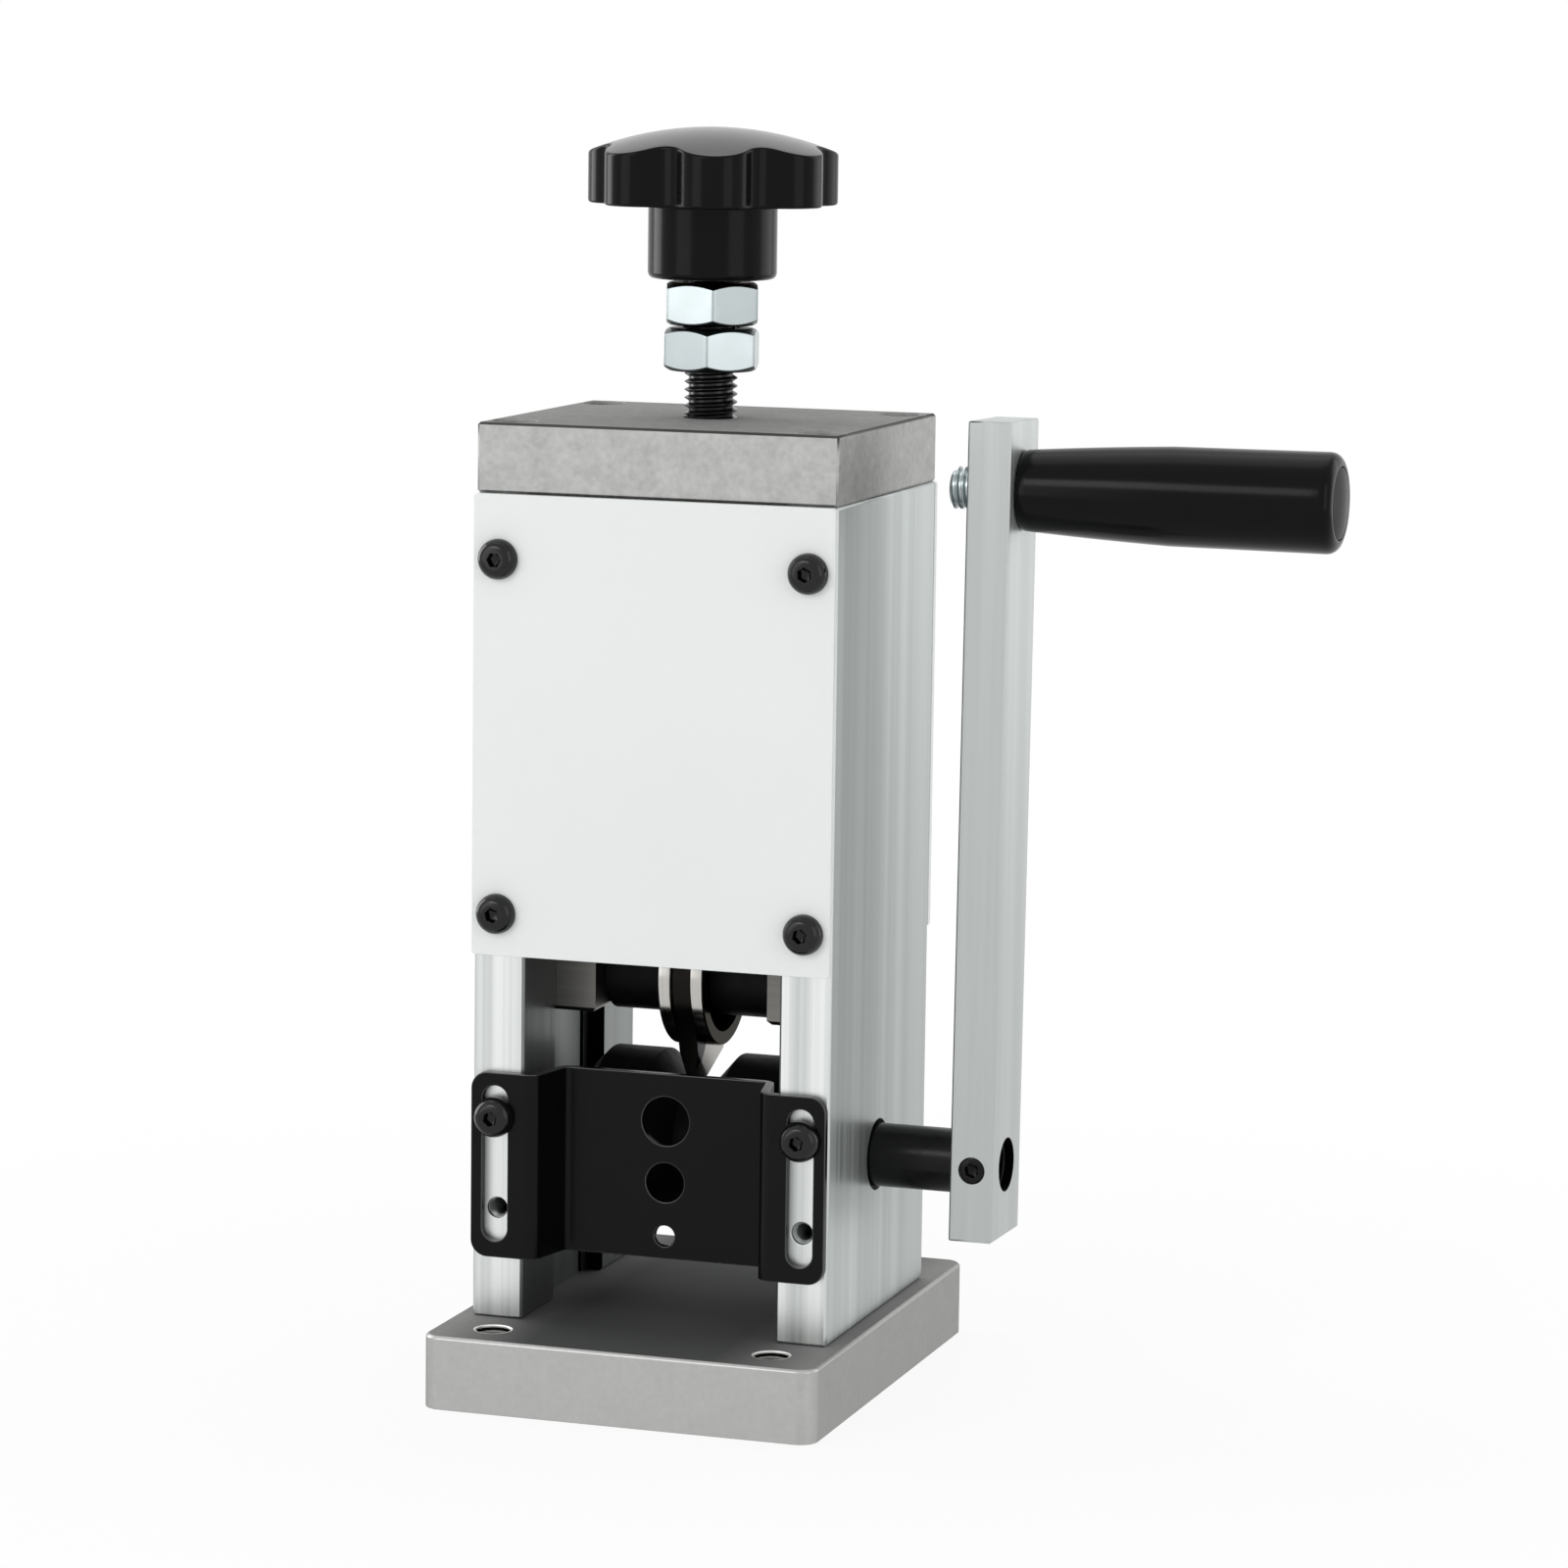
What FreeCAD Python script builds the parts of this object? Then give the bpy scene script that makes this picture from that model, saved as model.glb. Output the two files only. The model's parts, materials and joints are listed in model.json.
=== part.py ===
import FreeCAD, Part
import math
import os

# Hand-cranked wire stripping machine. The crank turns two feed wheels, which pull a cable in the
# groove between them under a hooked knife. The knife rides in a carriage that the star knob raises and lowers.
# Millimetres, +X to the crank side, +Y to the back, +Z up, origin under the middle of the base.

# Fits shared by the whole machine
RUNNING_GAP = 0.05     # radial, shaft in a bush or screw in its tapped bore
SEAT_GAP = 0.02        # radial, fixed piece in its seat
SLIDE_GAP = 0.1        # flat faces that slide past each other
END_PLAY = 0.1         # along a shaft or screw that turns
EDGE = 0.5             # broken edge on machined blocks
TOUCH = 1e-6           # tolerance for picking edges by their place

# Base plate
BASE_WIDTH = 76.6
BASE_DEPTH = 96.0
BASE_THICK = 14.0
BASE_CORNER_R = 3.5
BASE_EDGE = 0.5
MOUNT_HOLE_D = 6.6
MOUNT_SPACING_X = 54.6
MOUNT_SPACING_Y = 78.0

# Column: two side plates, a top block and two covers
COLUMN_WIDTH = 70.0
COLUMN_DEPTH = 60.4
PLATE_THICK = 10.0
PLATE_HEIGHT = 155.2
CHANNEL_WIDTH = 27.0
CHANNEL_DEPTH = 3.5
RELIEF_Y = 10.3             # two narrow grooves along each channel's floor
RELIEF_WIDTH = 1.8
RELIEF_DEPTH = 1.2
TOP_THICK = 13.0
COVER_THICK = 1.5
COVER_HEIGHT = 86.0
COVER_SCREW_FROM_TOP = 12.0
COVER_SCREW_FROM_BOTTOM = 7.9
SPARE_HOLE_DROP = 17.6      # second tapped hole below each guide screw
TAPPED_DEPTH = 10.0

# Fasteners
BUTTON_HEAD_D = 7.6
BUTTON_HEAD_H = 2.6
BUTTON_SHOULDER_D = 6.4
BUTTON_SHOULDER_H = 1.7
BUTTON_FLAT_D = 4.2
BUTTON_RIM = 0.35
BUTTON_SHANK_D = 4.0
BUTTON_LENGTH = 10.0
CAP_HEAD_D = 8.5
CAP_HEAD_H = 5.0
CAP_SHANK_D = 5.0
CAP_RECESS = 5.5
CAP_RECESS_GAP = 0.3
BASE_SCREW_GRIP = 12.0
TOP_SCREW_GRIP = 8.5
BASE_SCREW_SPACING_Y = 42.0
TOP_SCREW_SPACING_Y = 48.0
GRUB_D = 5.0

# Drive: shaft, bushes, spacers and two wheels that leave a cable groove between them
SHAFT_RISE = 30.5           # axis above the base plate's top
SHAFT_D = 12.0
SHAFT_END_SINK = 0.6        # left end below the plate's outer face
PLATE_LIP = 1.5             # wall left outside each bush
LIP_GAP = 0.8               # dark gap round the shaft at the plate's face
BUSH_D = 16.0
BUSH_FLANGE_D = 20.0
BUSH_FLANGE_T = 1.5
SPACER_D = 17.0
WHEEL_D = 34.2
WHEELS_LENGTH = 39.6        # both wheels and the ring between them
WHEEL_CHAMFER = 2.0
GROOVE_WIDTH = 15.4
GROOVE_FLOOR_WIDTH = 4.6
GROOVE_DEPTH = 6.2
WHEEL_GRUB_X = 13.5
WHEEL_GRUB_LENGTH = 8.0

# Crank arm and revolving handle
CRANK_LEAN = 1.4            # degrees, the arm stands slightly back
ARM_OFFSET = 16.9           # arm's inner face from the plate's outer face
ARM_THICK = 8.3
ARM_WIDTH = 18.4
ARM_BELOW = 13.5
ARM_ABOVE = 12.9
ARM_EDGE = 0.25
ARM_BORE_D = 10.0
CRANK_THROW = 126.3
SPIGOT_SINK = 1.6           # shaft end below the arm's outer face
ARM_GRUB_SINK = 0.3
STUD_D = 8.0
STUD_PROUD = 5.1
STUD_HEAD_D = 12.0
STUD_HEAD_T = 3.0
STUD_HEAD_PLAY = 0.5
GRIP_GAP = 0.3
GRIP_LENGTH = 59.4
GRIP_ROOT_D = 15.0
GRIP_NECK_D = 16.9
GRIP_NECK_AT = 14.0
GRIP_BELLY_D = 18.3
GRIP_BELLY_AT = 28.0
GRIP_END_D = 18.6
GRIP_END_R = 2.2
CAP_D = 13.6
CAP_THICK = 3.0
CAP_DOME = 0.5

# Guide plate of bent sheet
GUIDE_RISE = 11.9           # lower edge above the base plate's top
GUIDE_HEIGHT = 35.2
GUIDE_INSET = 0.2           # outer edges inside the column's sides
GUIDE_SHEET = 1.6
GUIDE_RECESS = 10.6
GUIDE_WEB_GAP = 1.5         # between each web and the side plate behind its flange
GUIDE_WEB_SLANT = 2.2
GUIDE_BEND_R = 1.2
GUIDE_CORNER_R = 3.2
SLOT_WIDTH = 5.0
SLOT_LENGTH = 29.6
SLOT_RISE = 3.1             # slot's lower end above the plate's lower edge
GUIDE_SCREW_RISE = 26.8     # clamping screw above the plate's lower edge at rest
GUIDE_HOLES = ((9.3, 26.2), (7.5, 14.5), (4.0, 4.3))     # diameter, height on the plate

# Knife carriage
KNIFE_RISE = 33.0           # knife axle above the drive shaft
AXLE_D = 10.0
CHEEK_GAP = 34.0
CHEEK_BELOW = 7.3
BRIDGE_ABOVE = 17.5         # underside of the bridge above the knife axle
BRIDGE_THICK = 10.0
BRIDGE_INNER_R = 3.0
CARRIAGE_EDGE = 0.8
AXLE_END_GAP = 0.4
AXLE_GRUB_LENGTH = 6.0
SLEEVE_D = 16.6
KNIFE_THICK = 3.7
KNIFE_RING_R = 13.4
DISC_D = 28.4
DISC_THICK = 2.65
DISC_EDGE = 0.3
DISC_RECESS_D = 23.0
DISC_RECESS_DEPTH = 0.8
PIN_D = 2.0
PIN_CIRCLE_R = 9.7
PIN_ANGLES = (-128.0, -8.0, 112.0)
TIP_FORWARD = 6.8
TIP_DROP = 21.5
BEAK_FRONT_Y = -11.8        # where the beak's front leaves the ring
BEAK_BACK_Y = 8.0           # where the beak's back leaves the ring
BEAK_BREAST_Y = -8.5        # on the beak's front, half way down
BEAK_BREAST_DROP = 14.4
BEAK_HEEL_Y = 6.4           # where the beak's back turns towards the tip
BEAK_HEEL_DROP = 16.1
TIP_GRIND = 4.0
TIP_EDGE = 0.5

# Adjusting screw, nuts and star knob
SCREW_D = 10.0
NECK_D = 7.0
RING_GROOVE_D = 6.0
RING_D = 12.0
RING_THICK = 1.2
RING_SLOT = 5.0
RING_POCKET_D = 16.0
RING_POCKET_DEPTH = 3.0
WASHER_D = 18.0
WASHER_THICK = 1.5
NUT_FLATS = 17.0
NUT_HEIGHT = 8.0
NUT_FACE_D = 15.6
NUT_CONE = 30.0             # degrees, chamfer of the nut's ends
NUT_RISE = 8.8              # lock nut above the top block
NUT_SPACE = 0.5
HUB_SPACE = 0.6
NUT_TURN_LOWER = 43.9       # degrees
NUT_TURN_UPPER = 50.0       # degrees
HUB_D = 24.1
HUB_HEIGHT = 13.7
HUB_EDGE_R = 1.2
INSERT_D = 16.0
INSERT_LENGTH = 14.0
STAR_LOBES = 7
STAR_REACH = 23.75
STAR_LOBE_R = 7.0
STAR_VALLEY_R = 5.0
STAR_RIM_HEIGHT = 9.6
STAR_CROWN = 4.8
STAR_TURN = -70.6           # degrees, one lobe faces the front right
STAR_POCKET_OUTER_R = 17.5
STAR_POCKET_INNER_R = 14.6
STAR_POCKET_DEPTH = 6.0

# Places worked out from the sizes above
ORIGIN = FreeCAD.Vector(0, 0, 0)
X_AXIS = FreeCAD.Vector(1, 0, 0)
Y_AXIS = FreeCAD.Vector(0, 1, 0)
Z_AXIS = FreeCAD.Vector(0, 0, 1)
PLATE_OUT = COLUMN_WIDTH / 2
PLATE_IN = PLATE_OUT - PLATE_THICK
CHANNEL_FLOOR = PLATE_IN + CHANNEL_DEPTH
SCREW_LINE = PLATE_OUT - PLATE_THICK / 2
FRONT_FACE = -COLUMN_DEPTH / 2
COLUMN_TOP = BASE_THICK + PLATE_HEIGHT
BLOCK_TOP = COLUMN_TOP + TOP_THICK
COVER_BOTTOM = COLUMN_TOP - COVER_HEIGHT
COVER_SCREW_HEIGHTS = (COLUMN_TOP - COVER_SCREW_FROM_TOP, COVER_BOTTOM + COVER_SCREW_FROM_BOTTOM)
SHAFT_Z = BASE_THICK + SHAFT_RISE
BUSH_END = PLATE_OUT - PLATE_LIP
BUSH_FACE = CHANNEL_FLOOR - BUSH_FLANGE_T
ARM_IN = PLATE_OUT + ARM_OFFSET
ARM_OUT = ARM_IN + ARM_THICK
HANDLE_Z = SHAFT_Z + CRANK_THROW
GRIP_START = ARM_OUT + GRIP_GAP
GRIP_END = GRIP_START + GRIP_LENGTH
CAP_SEAT = GRIP_END - CAP_THICK
STUD_HEAD_IN = CAP_SEAT - 2 * STUD_HEAD_PLAY - STUD_HEAD_T
GUIDE_BOTTOM = BASE_THICK + GUIDE_RISE
GUIDE_BACK = FRONT_FACE - SLIDE_GAP
GUIDE_FRONT = GUIDE_BACK - GUIDE_SHEET
GUIDE_SCREW_Z = GUIDE_BOTTOM + GUIDE_SCREW_RISE
KNIFE_Z = SHAFT_Z + KNIFE_RISE
CARRIAGE_SIDE = CHANNEL_FLOOR - SLIDE_GAP
CARRIAGE_BACK = CHANNEL_WIDTH / 2 - SLIDE_GAP
CHEEK_IN = CHEEK_GAP / 2
BRIDGE_UNDER = KNIFE_Z + BRIDGE_ABOVE
BRIDGE_TOP = BRIDGE_UNDER + BRIDGE_THICK
PACK_HALF = KNIFE_THICK / 2 + DISC_THICK
RECESS_FLOOR = PACK_HALF - DISC_RECESS_DEPTH
POCKET_CEILING = BRIDGE_UNDER + RING_POCKET_DEPTH
SHOULDER_Z = BRIDGE_TOP + WASHER_THICK + END_PLAY
LOWER_NUT_Z = BLOCK_TOP + NUT_RISE
UPPER_NUT_Z = LOWER_NUT_Z + NUT_HEIGHT + NUT_SPACE
HUB_Z = UPPER_NUT_Z + NUT_HEIGHT + HUB_SPACE
STAR_Z = HUB_Z + HUB_HEIGHT
RIM_TOP = STAR_Z + STAR_RIM_HEIGHT


def point(x, y, z):
    return FreeCAD.Vector(x, y, z)


def block(low, high):
    size = high - low
    return Part.makeBox(size.x, size.y, size.z, low)


def bar(diameter, start, end):
    return Part.makeCylinder(diameter / 2, (end - start).Length, start, end - start)


def prism(outline, travel):
    return Part.Face(outline).extrude(travel)


def closed(points):
    return Part.makePolygon(list(points) + [points[0]])


def turned(profile, along, base):
    """Solid of revolution. The profile is a closed list of (radius, station) on the axis along."""
    side = Y_AXIS if along == X_AXIS else X_AXIS
    outline = closed([base + side * radius + along * station for radius, station in profile])
    return Part.Face(outline).revolve(base, along, 360)


def hexagon(flats, base, height, turn):
    """Upright hexagonal prism with the given width across flats."""
    reach = flats / math.sqrt(3)
    angles = [math.radians(turn + 60 * corner) for corner in range(6)]
    outline = closed([base + point(reach * math.cos(a), reach * math.sin(a), 0) for a in angles])
    return prism(outline, Z_AXIS * height)


def aimed(shape, place, direction):
    """Copy of a piece drawn along +Z, set at a place with its head towards a direction."""
    copy = shape.copy()
    copy.Placement = FreeCAD.Placement(place, FreeCAD.Rotation(Z_AXIS, direction))
    return copy


def mirrored(shape, normal):
    return shape.mirror(ORIGIN, normal)


def edges_where(shape, test):
    return [edge for edge in shape.Edges if test(edge)]


def runs_along(edge, axis):
    ends = [vertex.Point for vertex in edge.Vertexes]
    return len(ends) == 2 and abs(abs((ends[1] - ends[0]).normalize().dot(axis)) - 1) < TOUCH


def corners(half_x, half_y, z):
    return [point(sx * half_x, sy * half_y, z) for sx in (-1, 1) for sy in (-1, 1)]


def button_screw():
    """Domed screw, seat at the origin and head up."""
    profile = [(0, -BUTTON_LENGTH), (BUTTON_SHANK_D / 2, -BUTTON_LENGTH), (BUTTON_SHANK_D / 2, 0),
               (BUTTON_HEAD_D / 2, 0), (BUTTON_HEAD_D / 2, BUTTON_RIM),
               (BUTTON_SHOULDER_D / 2, BUTTON_SHOULDER_H), (BUTTON_FLAT_D / 2, BUTTON_HEAD_H),
               (0, BUTTON_HEAD_H)]
    return turned(profile, Z_AXIS, ORIGIN)


def cap_screw(length):
    """Cylinder-head screw, seat at the origin and head up."""
    profile = [(0, -length), (CAP_SHANK_D / 2, -length), (CAP_SHANK_D / 2, 0), (CAP_HEAD_D / 2, 0),
               (CAP_HEAD_D / 2, CAP_HEAD_H), (0, CAP_HEAD_H)]
    return turned(profile, Z_AXIS, ORIGIN)


def grub_screw(length):
    """Headless screw, outer end at the origin and body below it."""
    return bar(GRUB_D, point(0, 0, -length), point(0, 0, 0))


def base_plate():
    half = point(BASE_WIDTH / 2, BASE_DEPTH / 2, 0)
    plate = block(point(-half.x, -half.y, 0), point(half.x, half.y, BASE_THICK))
    plate = plate.makeFillet(BASE_CORNER_R, edges_where(plate, lambda e: runs_along(e, Z_AXIS)))
    rim = edges_where(plate, lambda e: min(v.Z for v in e.Vertexes) > BASE_THICK - TOUCH)
    plate = plate.makeChamfer(BASE_EDGE, rim)
    for place in corners(MOUNT_SPACING_X / 2, MOUNT_SPACING_Y / 2, 0):
        plate = plate.cut(bar(MOUNT_HOLE_D, place, place + Z_AXIS * BASE_THICK))
    for place in corners(SCREW_LINE, BASE_SCREW_SPACING_Y / 2, 0):
        recess = bar(CAP_HEAD_D + 2 * CAP_RECESS_GAP, place, place + Z_AXIS * CAP_RECESS)
        hole = bar(CAP_SHANK_D + 2 * SEAT_GAP, place, place + Z_AXIS * BASE_THICK)
        plate = plate.cut(recess.fuse(hole))
    return plate


def base_screws():
    screw = cap_screw(BASE_THICK - CAP_RECESS + BASE_SCREW_GRIP)
    places = corners(SCREW_LINE, BASE_SCREW_SPACING_Y / 2, CAP_RECESS)
    return Part.makeCompound([aimed(screw, place, -Z_AXIS) for place in places])


def right_side_plate():
    """Extruded plate with the carriage channel down its inner face and a bush seat."""
    half = COLUMN_DEPTH / 2
    plate = block(point(PLATE_IN, -half, BASE_THICK), point(PLATE_OUT, half, COLUMN_TOP))
    plate = plate.makeChamfer(EDGE, plate.Edges)
    channel = block(point(PLATE_IN, -CHANNEL_WIDTH / 2, BASE_THICK),
                    point(CHANNEL_FLOOR, CHANNEL_WIDTH / 2, COLUMN_TOP))
    seat = bar(BUSH_D + 2 * SEAT_GAP, point(CHANNEL_FLOOR, 0, SHAFT_Z), point(BUSH_END, 0, SHAFT_Z))
    way_out = bar(SHAFT_D + 2 * LIP_GAP, point(BUSH_END, 0, SHAFT_Z), point(PLATE_OUT, 0, SHAFT_Z))
    plate = plate.cut(channel).cut(seat).cut(way_out)
    for side in (-1, 1):
        near = point(CHANNEL_FLOOR, side * RELIEF_Y - RELIEF_WIDTH / 2, BASE_THICK)
        plate = plate.cut(block(near, near + point(RELIEF_DEPTH, RELIEF_WIDTH, PLATE_HEIGHT)))
    tapped = BUTTON_SHANK_D + 2 * SEAT_GAP
    front_heights = COVER_SCREW_HEIGHTS + (GUIDE_SCREW_Z, GUIDE_SCREW_Z - SPARE_HOLE_DROP)
    for side, heights in ((1, front_heights), (-1, COVER_SCREW_HEIGHTS)):
        for z in heights:
            mouth = point(SCREW_LINE, side * FRONT_FACE, z)
            plate = plate.cut(bar(tapped, mouth, mouth + Y_AXIS * side * TAPPED_DEPTH))
    threaded = CAP_SHANK_D + 2 * SEAT_GAP
    for sign in (-1, 1):
        foot = point(SCREW_LINE, sign * BASE_SCREW_SPACING_Y / 2, BASE_THICK)
        head = point(SCREW_LINE, sign * TOP_SCREW_SPACING_Y / 2, COLUMN_TOP)
        plate = plate.cut(bar(threaded, foot, foot + Z_AXIS * BASE_SCREW_GRIP))
        plate = plate.cut(bar(threaded, head - Z_AXIS * TOP_SCREW_GRIP, head))
    return plate


def top_block():
    half = point(PLATE_OUT, COLUMN_DEPTH / 2, 0)
    slab = block(point(-half.x, -half.y, COLUMN_TOP), point(half.x, half.y, BLOCK_TOP))
    slab = slab.makeChamfer(EDGE, slab.Edges)
    axis = point(0, 0, COLUMN_TOP)
    slab = slab.cut(bar(SCREW_D + 2 * RUNNING_GAP, axis, axis + Z_AXIS * TOP_THICK))
    for place in corners(SCREW_LINE, TOP_SCREW_SPACING_Y / 2, BLOCK_TOP):
        recess = bar(CAP_HEAD_D + 2 * CAP_RECESS_GAP, place - Z_AXIS * CAP_RECESS, place)
        hole = bar(CAP_SHANK_D + 2 * SEAT_GAP, place - Z_AXIS * TOP_THICK, place)
        slab = slab.cut(recess.fuse(hole))
    return slab


def top_block_screws():
    screw = cap_screw(TOP_THICK - CAP_RECESS + TOP_SCREW_GRIP)
    places = corners(SCREW_LINE, TOP_SCREW_SPACING_Y / 2, BLOCK_TOP - CAP_RECESS)
    return Part.makeCompound([aimed(screw, place, Z_AXIS) for place in places])


def cover_places(y):
    return [point(sx * SCREW_LINE, y, z) for sx in (-1, 1) for z in COVER_SCREW_HEIGHTS]


def front_cover():
    sheet = block(point(-PLATE_OUT, FRONT_FACE - COVER_THICK, COVER_BOTTOM),
                  point(PLATE_OUT, FRONT_FACE, COLUMN_TOP))
    sheet = sheet.makeChamfer(EDGE, edges_where(sheet, lambda e: runs_along(e, Y_AXIS)))
    for place in cover_places(FRONT_FACE):
        sheet = sheet.cut(bar(BUTTON_SHANK_D + 2 * SEAT_GAP, place - Y_AXIS * COVER_THICK, place))
    return sheet


def front_cover_screws():
    screw = button_screw()
    places = cover_places(FRONT_FACE - COVER_THICK)
    return Part.makeCompound([aimed(screw, place, -Y_AXIS) for place in places])


def guide_screws():
    screw = button_screw()
    places = [point(side * SCREW_LINE, GUIDE_FRONT - SLIDE_GAP, GUIDE_SCREW_Z) for side in (-1, 1)]
    return Part.makeCompound([aimed(screw, place, -Y_AXIS) for place in places])


def right_bush():
    """Flanged plain bush, its flange against the channel floor."""
    inner = SHAFT_D / 2 + RUNNING_GAP
    profile = [(inner, BUSH_FACE), (BUSH_FLANGE_D / 2, BUSH_FACE), (BUSH_FLANGE_D / 2, CHANNEL_FLOOR),
               (BUSH_D / 2, CHANNEL_FLOOR), (BUSH_D / 2, BUSH_END), (inner, BUSH_END)]
    return turned(profile, X_AXIS, point(0, 0, SHAFT_Z))


def rounded_path(points, radii):
    """Wire of straight runs joined by tangent arcs, one radius for each inner corner."""
    edges = []
    start = points[0]
    for before, corner, after, radius in zip(points, points[1:], points[2:], radii):
        back = (before - corner).normalize()
        ahead = (after - corner).normalize()
        half = back.getAngle(ahead) / 2
        arc_in = corner + back * (radius / math.tan(half))
        arc_out = corner + ahead * (radius / math.tan(half))
        middle = corner + (back + ahead).normalize() * (radius / math.sin(half) - radius)
        edges += [Part.makeLine(start, arc_in), Part.Arc(arc_in, middle, arc_out).toShape()]
        start = arc_out
    return Part.Wire(edges + [Part.makeLine(start, points[-1])])


def guide_plate():
    """Hat-shaped bent sheet: two slotted flanges and a recessed panel with three cable holes."""
    outer = PLATE_OUT - GUIDE_INSET
    panel = PLATE_IN - GUIDE_WEB_GAP - GUIDE_SHEET - GUIDE_WEB_SLANT
    panel_front = GUIDE_FRONT + GUIDE_RECESS
    outer_bend = GUIDE_BEND_R + GUIDE_SHEET
    front = [point(-outer, GUIDE_FRONT, 0), point(-panel - GUIDE_WEB_SLANT, GUIDE_FRONT, 0),
             point(-panel, panel_front, 0), point(panel, panel_front, 0),
             point(panel + GUIDE_WEB_SLANT, GUIDE_FRONT, 0), point(outer, GUIDE_FRONT, 0)]
    path = rounded_path(front, (outer_bend, GUIDE_BEND_R, GUIDE_BEND_R, outer_bend))
    section = path.makeOffset2D(-GUIDE_SHEET, 0, True, True)
    section.translate(Z_AXIS * GUIDE_BOTTOM)
    plate = section.Faces[0].extrude(Z_AXIS * GUIDE_HEIGHT)
    rims = edges_where(plate, lambda e: runs_along(e, Y_AXIS) and abs(e.Vertexes[0].X) > outer - TOUCH)
    plate = plate.makeFillet(GUIDE_CORNER_R, rims)
    for side in (-1, 1):
        plate = plate.cut(slot(side * SCREW_LINE, GUIDE_BOTTOM + SLOT_RISE))
    for diameter, rise in GUIDE_HOLES:
        mouth = point(0, panel_front, GUIDE_BOTTOM + rise)
        plate = plate.cut(bar(diameter, mouth, mouth + Y_AXIS * GUIDE_SHEET))
    return plate


def slot(x, bottom):
    """Cutter for one upright slot with round ends through a guide flange."""
    radius = SLOT_WIDTH / 2
    low = point(x, GUIDE_FRONT, bottom + radius)
    high = point(x, GUIDE_FRONT, bottom + SLOT_LENGTH - radius)
    through = Y_AXIS * GUIDE_SHEET
    middle = block(low - X_AXIS * radius, high + X_AXIS * radius + through)
    return middle.fuse([bar(SLOT_WIDTH, end, end + through) for end in (low, high)])


def on_crank(shape):
    """Turns a piece of the crank about the shaft to the angle at which the arm stands."""
    return shape.rotate(point(0, 0, SHAFT_Z), X_AXIS, -CRANK_LEAN)


def drive_shaft():
    spigot = ARM_BORE_D / 2 - SEAT_GAP
    shaft = SHAFT_D / 2
    left = SHAFT_END_SINK - PLATE_OUT
    right = ARM_OUT - SPIGOT_SINK
    profile = [(0, left), (shaft - EDGE, left), (shaft, left + EDGE), (shaft, ARM_IN), (spigot, ARM_IN),
               (spigot, right - EDGE), (spigot - EDGE, right), (0, right)]
    return on_crank(turned(profile, X_AXIS, point(0, 0, SHAFT_Z)))


def right_feed_wheel():
    """Wheel with a wide cone towards the middle, which is one flank of the cable groove."""
    inner = SHAFT_D / 2 + SEAT_GAP
    outer = WHEEL_D / 2
    end = WHEELS_LENGTH / 2
    near = GROOVE_FLOOR_WIDTH / 2
    profile = [(inner, near), (outer - GROOVE_DEPTH, near), (outer, GROOVE_WIDTH / 2),
               (outer, end - WHEEL_CHAMFER), (outer - WHEEL_CHAMFER, end), (inner, end)]
    wheel = turned(profile, X_AXIS, point(0, 0, SHAFT_Z))
    mouth = point(WHEEL_GRUB_X, 0, SHAFT_Z - outer)
    return wheel.cut(bar(GRUB_D + 2 * SEAT_GAP, mouth, point(mouth.x, 0, SHAFT_Z)))


def groove_ring():
    """Ring between the two wheels, the floor of the cable groove."""
    inner = SHAFT_D / 2 + SEAT_GAP
    outer = WHEEL_D / 2 - GROOVE_DEPTH
    half = GROOVE_FLOOR_WIDTH / 2
    profile = [(inner, -half), (outer, -half), (outer, half), (inner, half)]
    return on_crank(turned(profile, X_AXIS, point(0, 0, SHAFT_Z)))


def wheel_grub_screws():
    screw = grub_screw(WHEEL_GRUB_LENGTH)
    depth = SHAFT_Z - SHAFT_D / 2 - SEAT_GAP - WHEEL_GRUB_LENGTH
    places = [point(side * WHEEL_GRUB_X, 0, depth) for side in (-1, 1)]
    return on_crank(Part.makeCompound([aimed(screw, place, -Z_AXIS) for place in places]))


def right_spacer():
    inner = SHAFT_D / 2 + SEAT_GAP
    ends = (WHEELS_LENGTH / 2, BUSH_FACE - END_PLAY)
    profile = [(inner, ends[0]), (SPACER_D / 2, ends[0]), (SPACER_D / 2, ends[1]), (inner, ends[1])]
    return turned(profile, X_AXIS, point(0, 0, SHAFT_Z))


def crank_arm():
    half = ARM_WIDTH / 2
    arm = block(point(ARM_IN, -half, SHAFT_Z - ARM_BELOW), point(ARM_OUT, half, HANDLE_Z + ARM_ABOVE))
    arm = arm.makeChamfer(ARM_EDGE, arm.Edges)
    arm = arm.cut(bar(ARM_BORE_D, point(ARM_IN, 0, SHAFT_Z), point(ARM_OUT, 0, SHAFT_Z)))
    arm = arm.cut(bar(STUD_D + 2 * SEAT_GAP, point(ARM_IN, 0, HANDLE_Z), point(ARM_OUT, 0, HANDLE_Z)))
    grub = point(ARM_IN + ARM_THICK / 2, -half, SHAFT_Z)
    return on_crank(arm.cut(bar(GRUB_D + 2 * SEAT_GAP, grub, point(grub.x, 0, SHAFT_Z))))


def crank_grub_screw():
    outer = -ARM_WIDTH / 2 + ARM_GRUB_SINK
    screw = grub_screw(-ARM_BORE_D / 2 - outer)
    return on_crank(aimed(screw, point(ARM_IN + ARM_THICK / 2, outer, SHAFT_Z), -Y_AXIS))


def handle_stud():
    """Threaded stud through the arm that runs on as the handle's spindle, with a flat head."""
    shank = STUD_D / 2
    head = STUD_HEAD_D / 2
    tip = ARM_IN - STUD_PROUD
    far = STUD_HEAD_IN + STUD_HEAD_T
    profile = [(0, tip), (shank - EDGE, tip), (shank, tip + EDGE), (shank, STUD_HEAD_IN),
               (head, STUD_HEAD_IN), (head, far), (0, far)]
    return on_crank(turned(profile, X_AXIS, point(0, 0, HANDLE_Z)))


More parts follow.
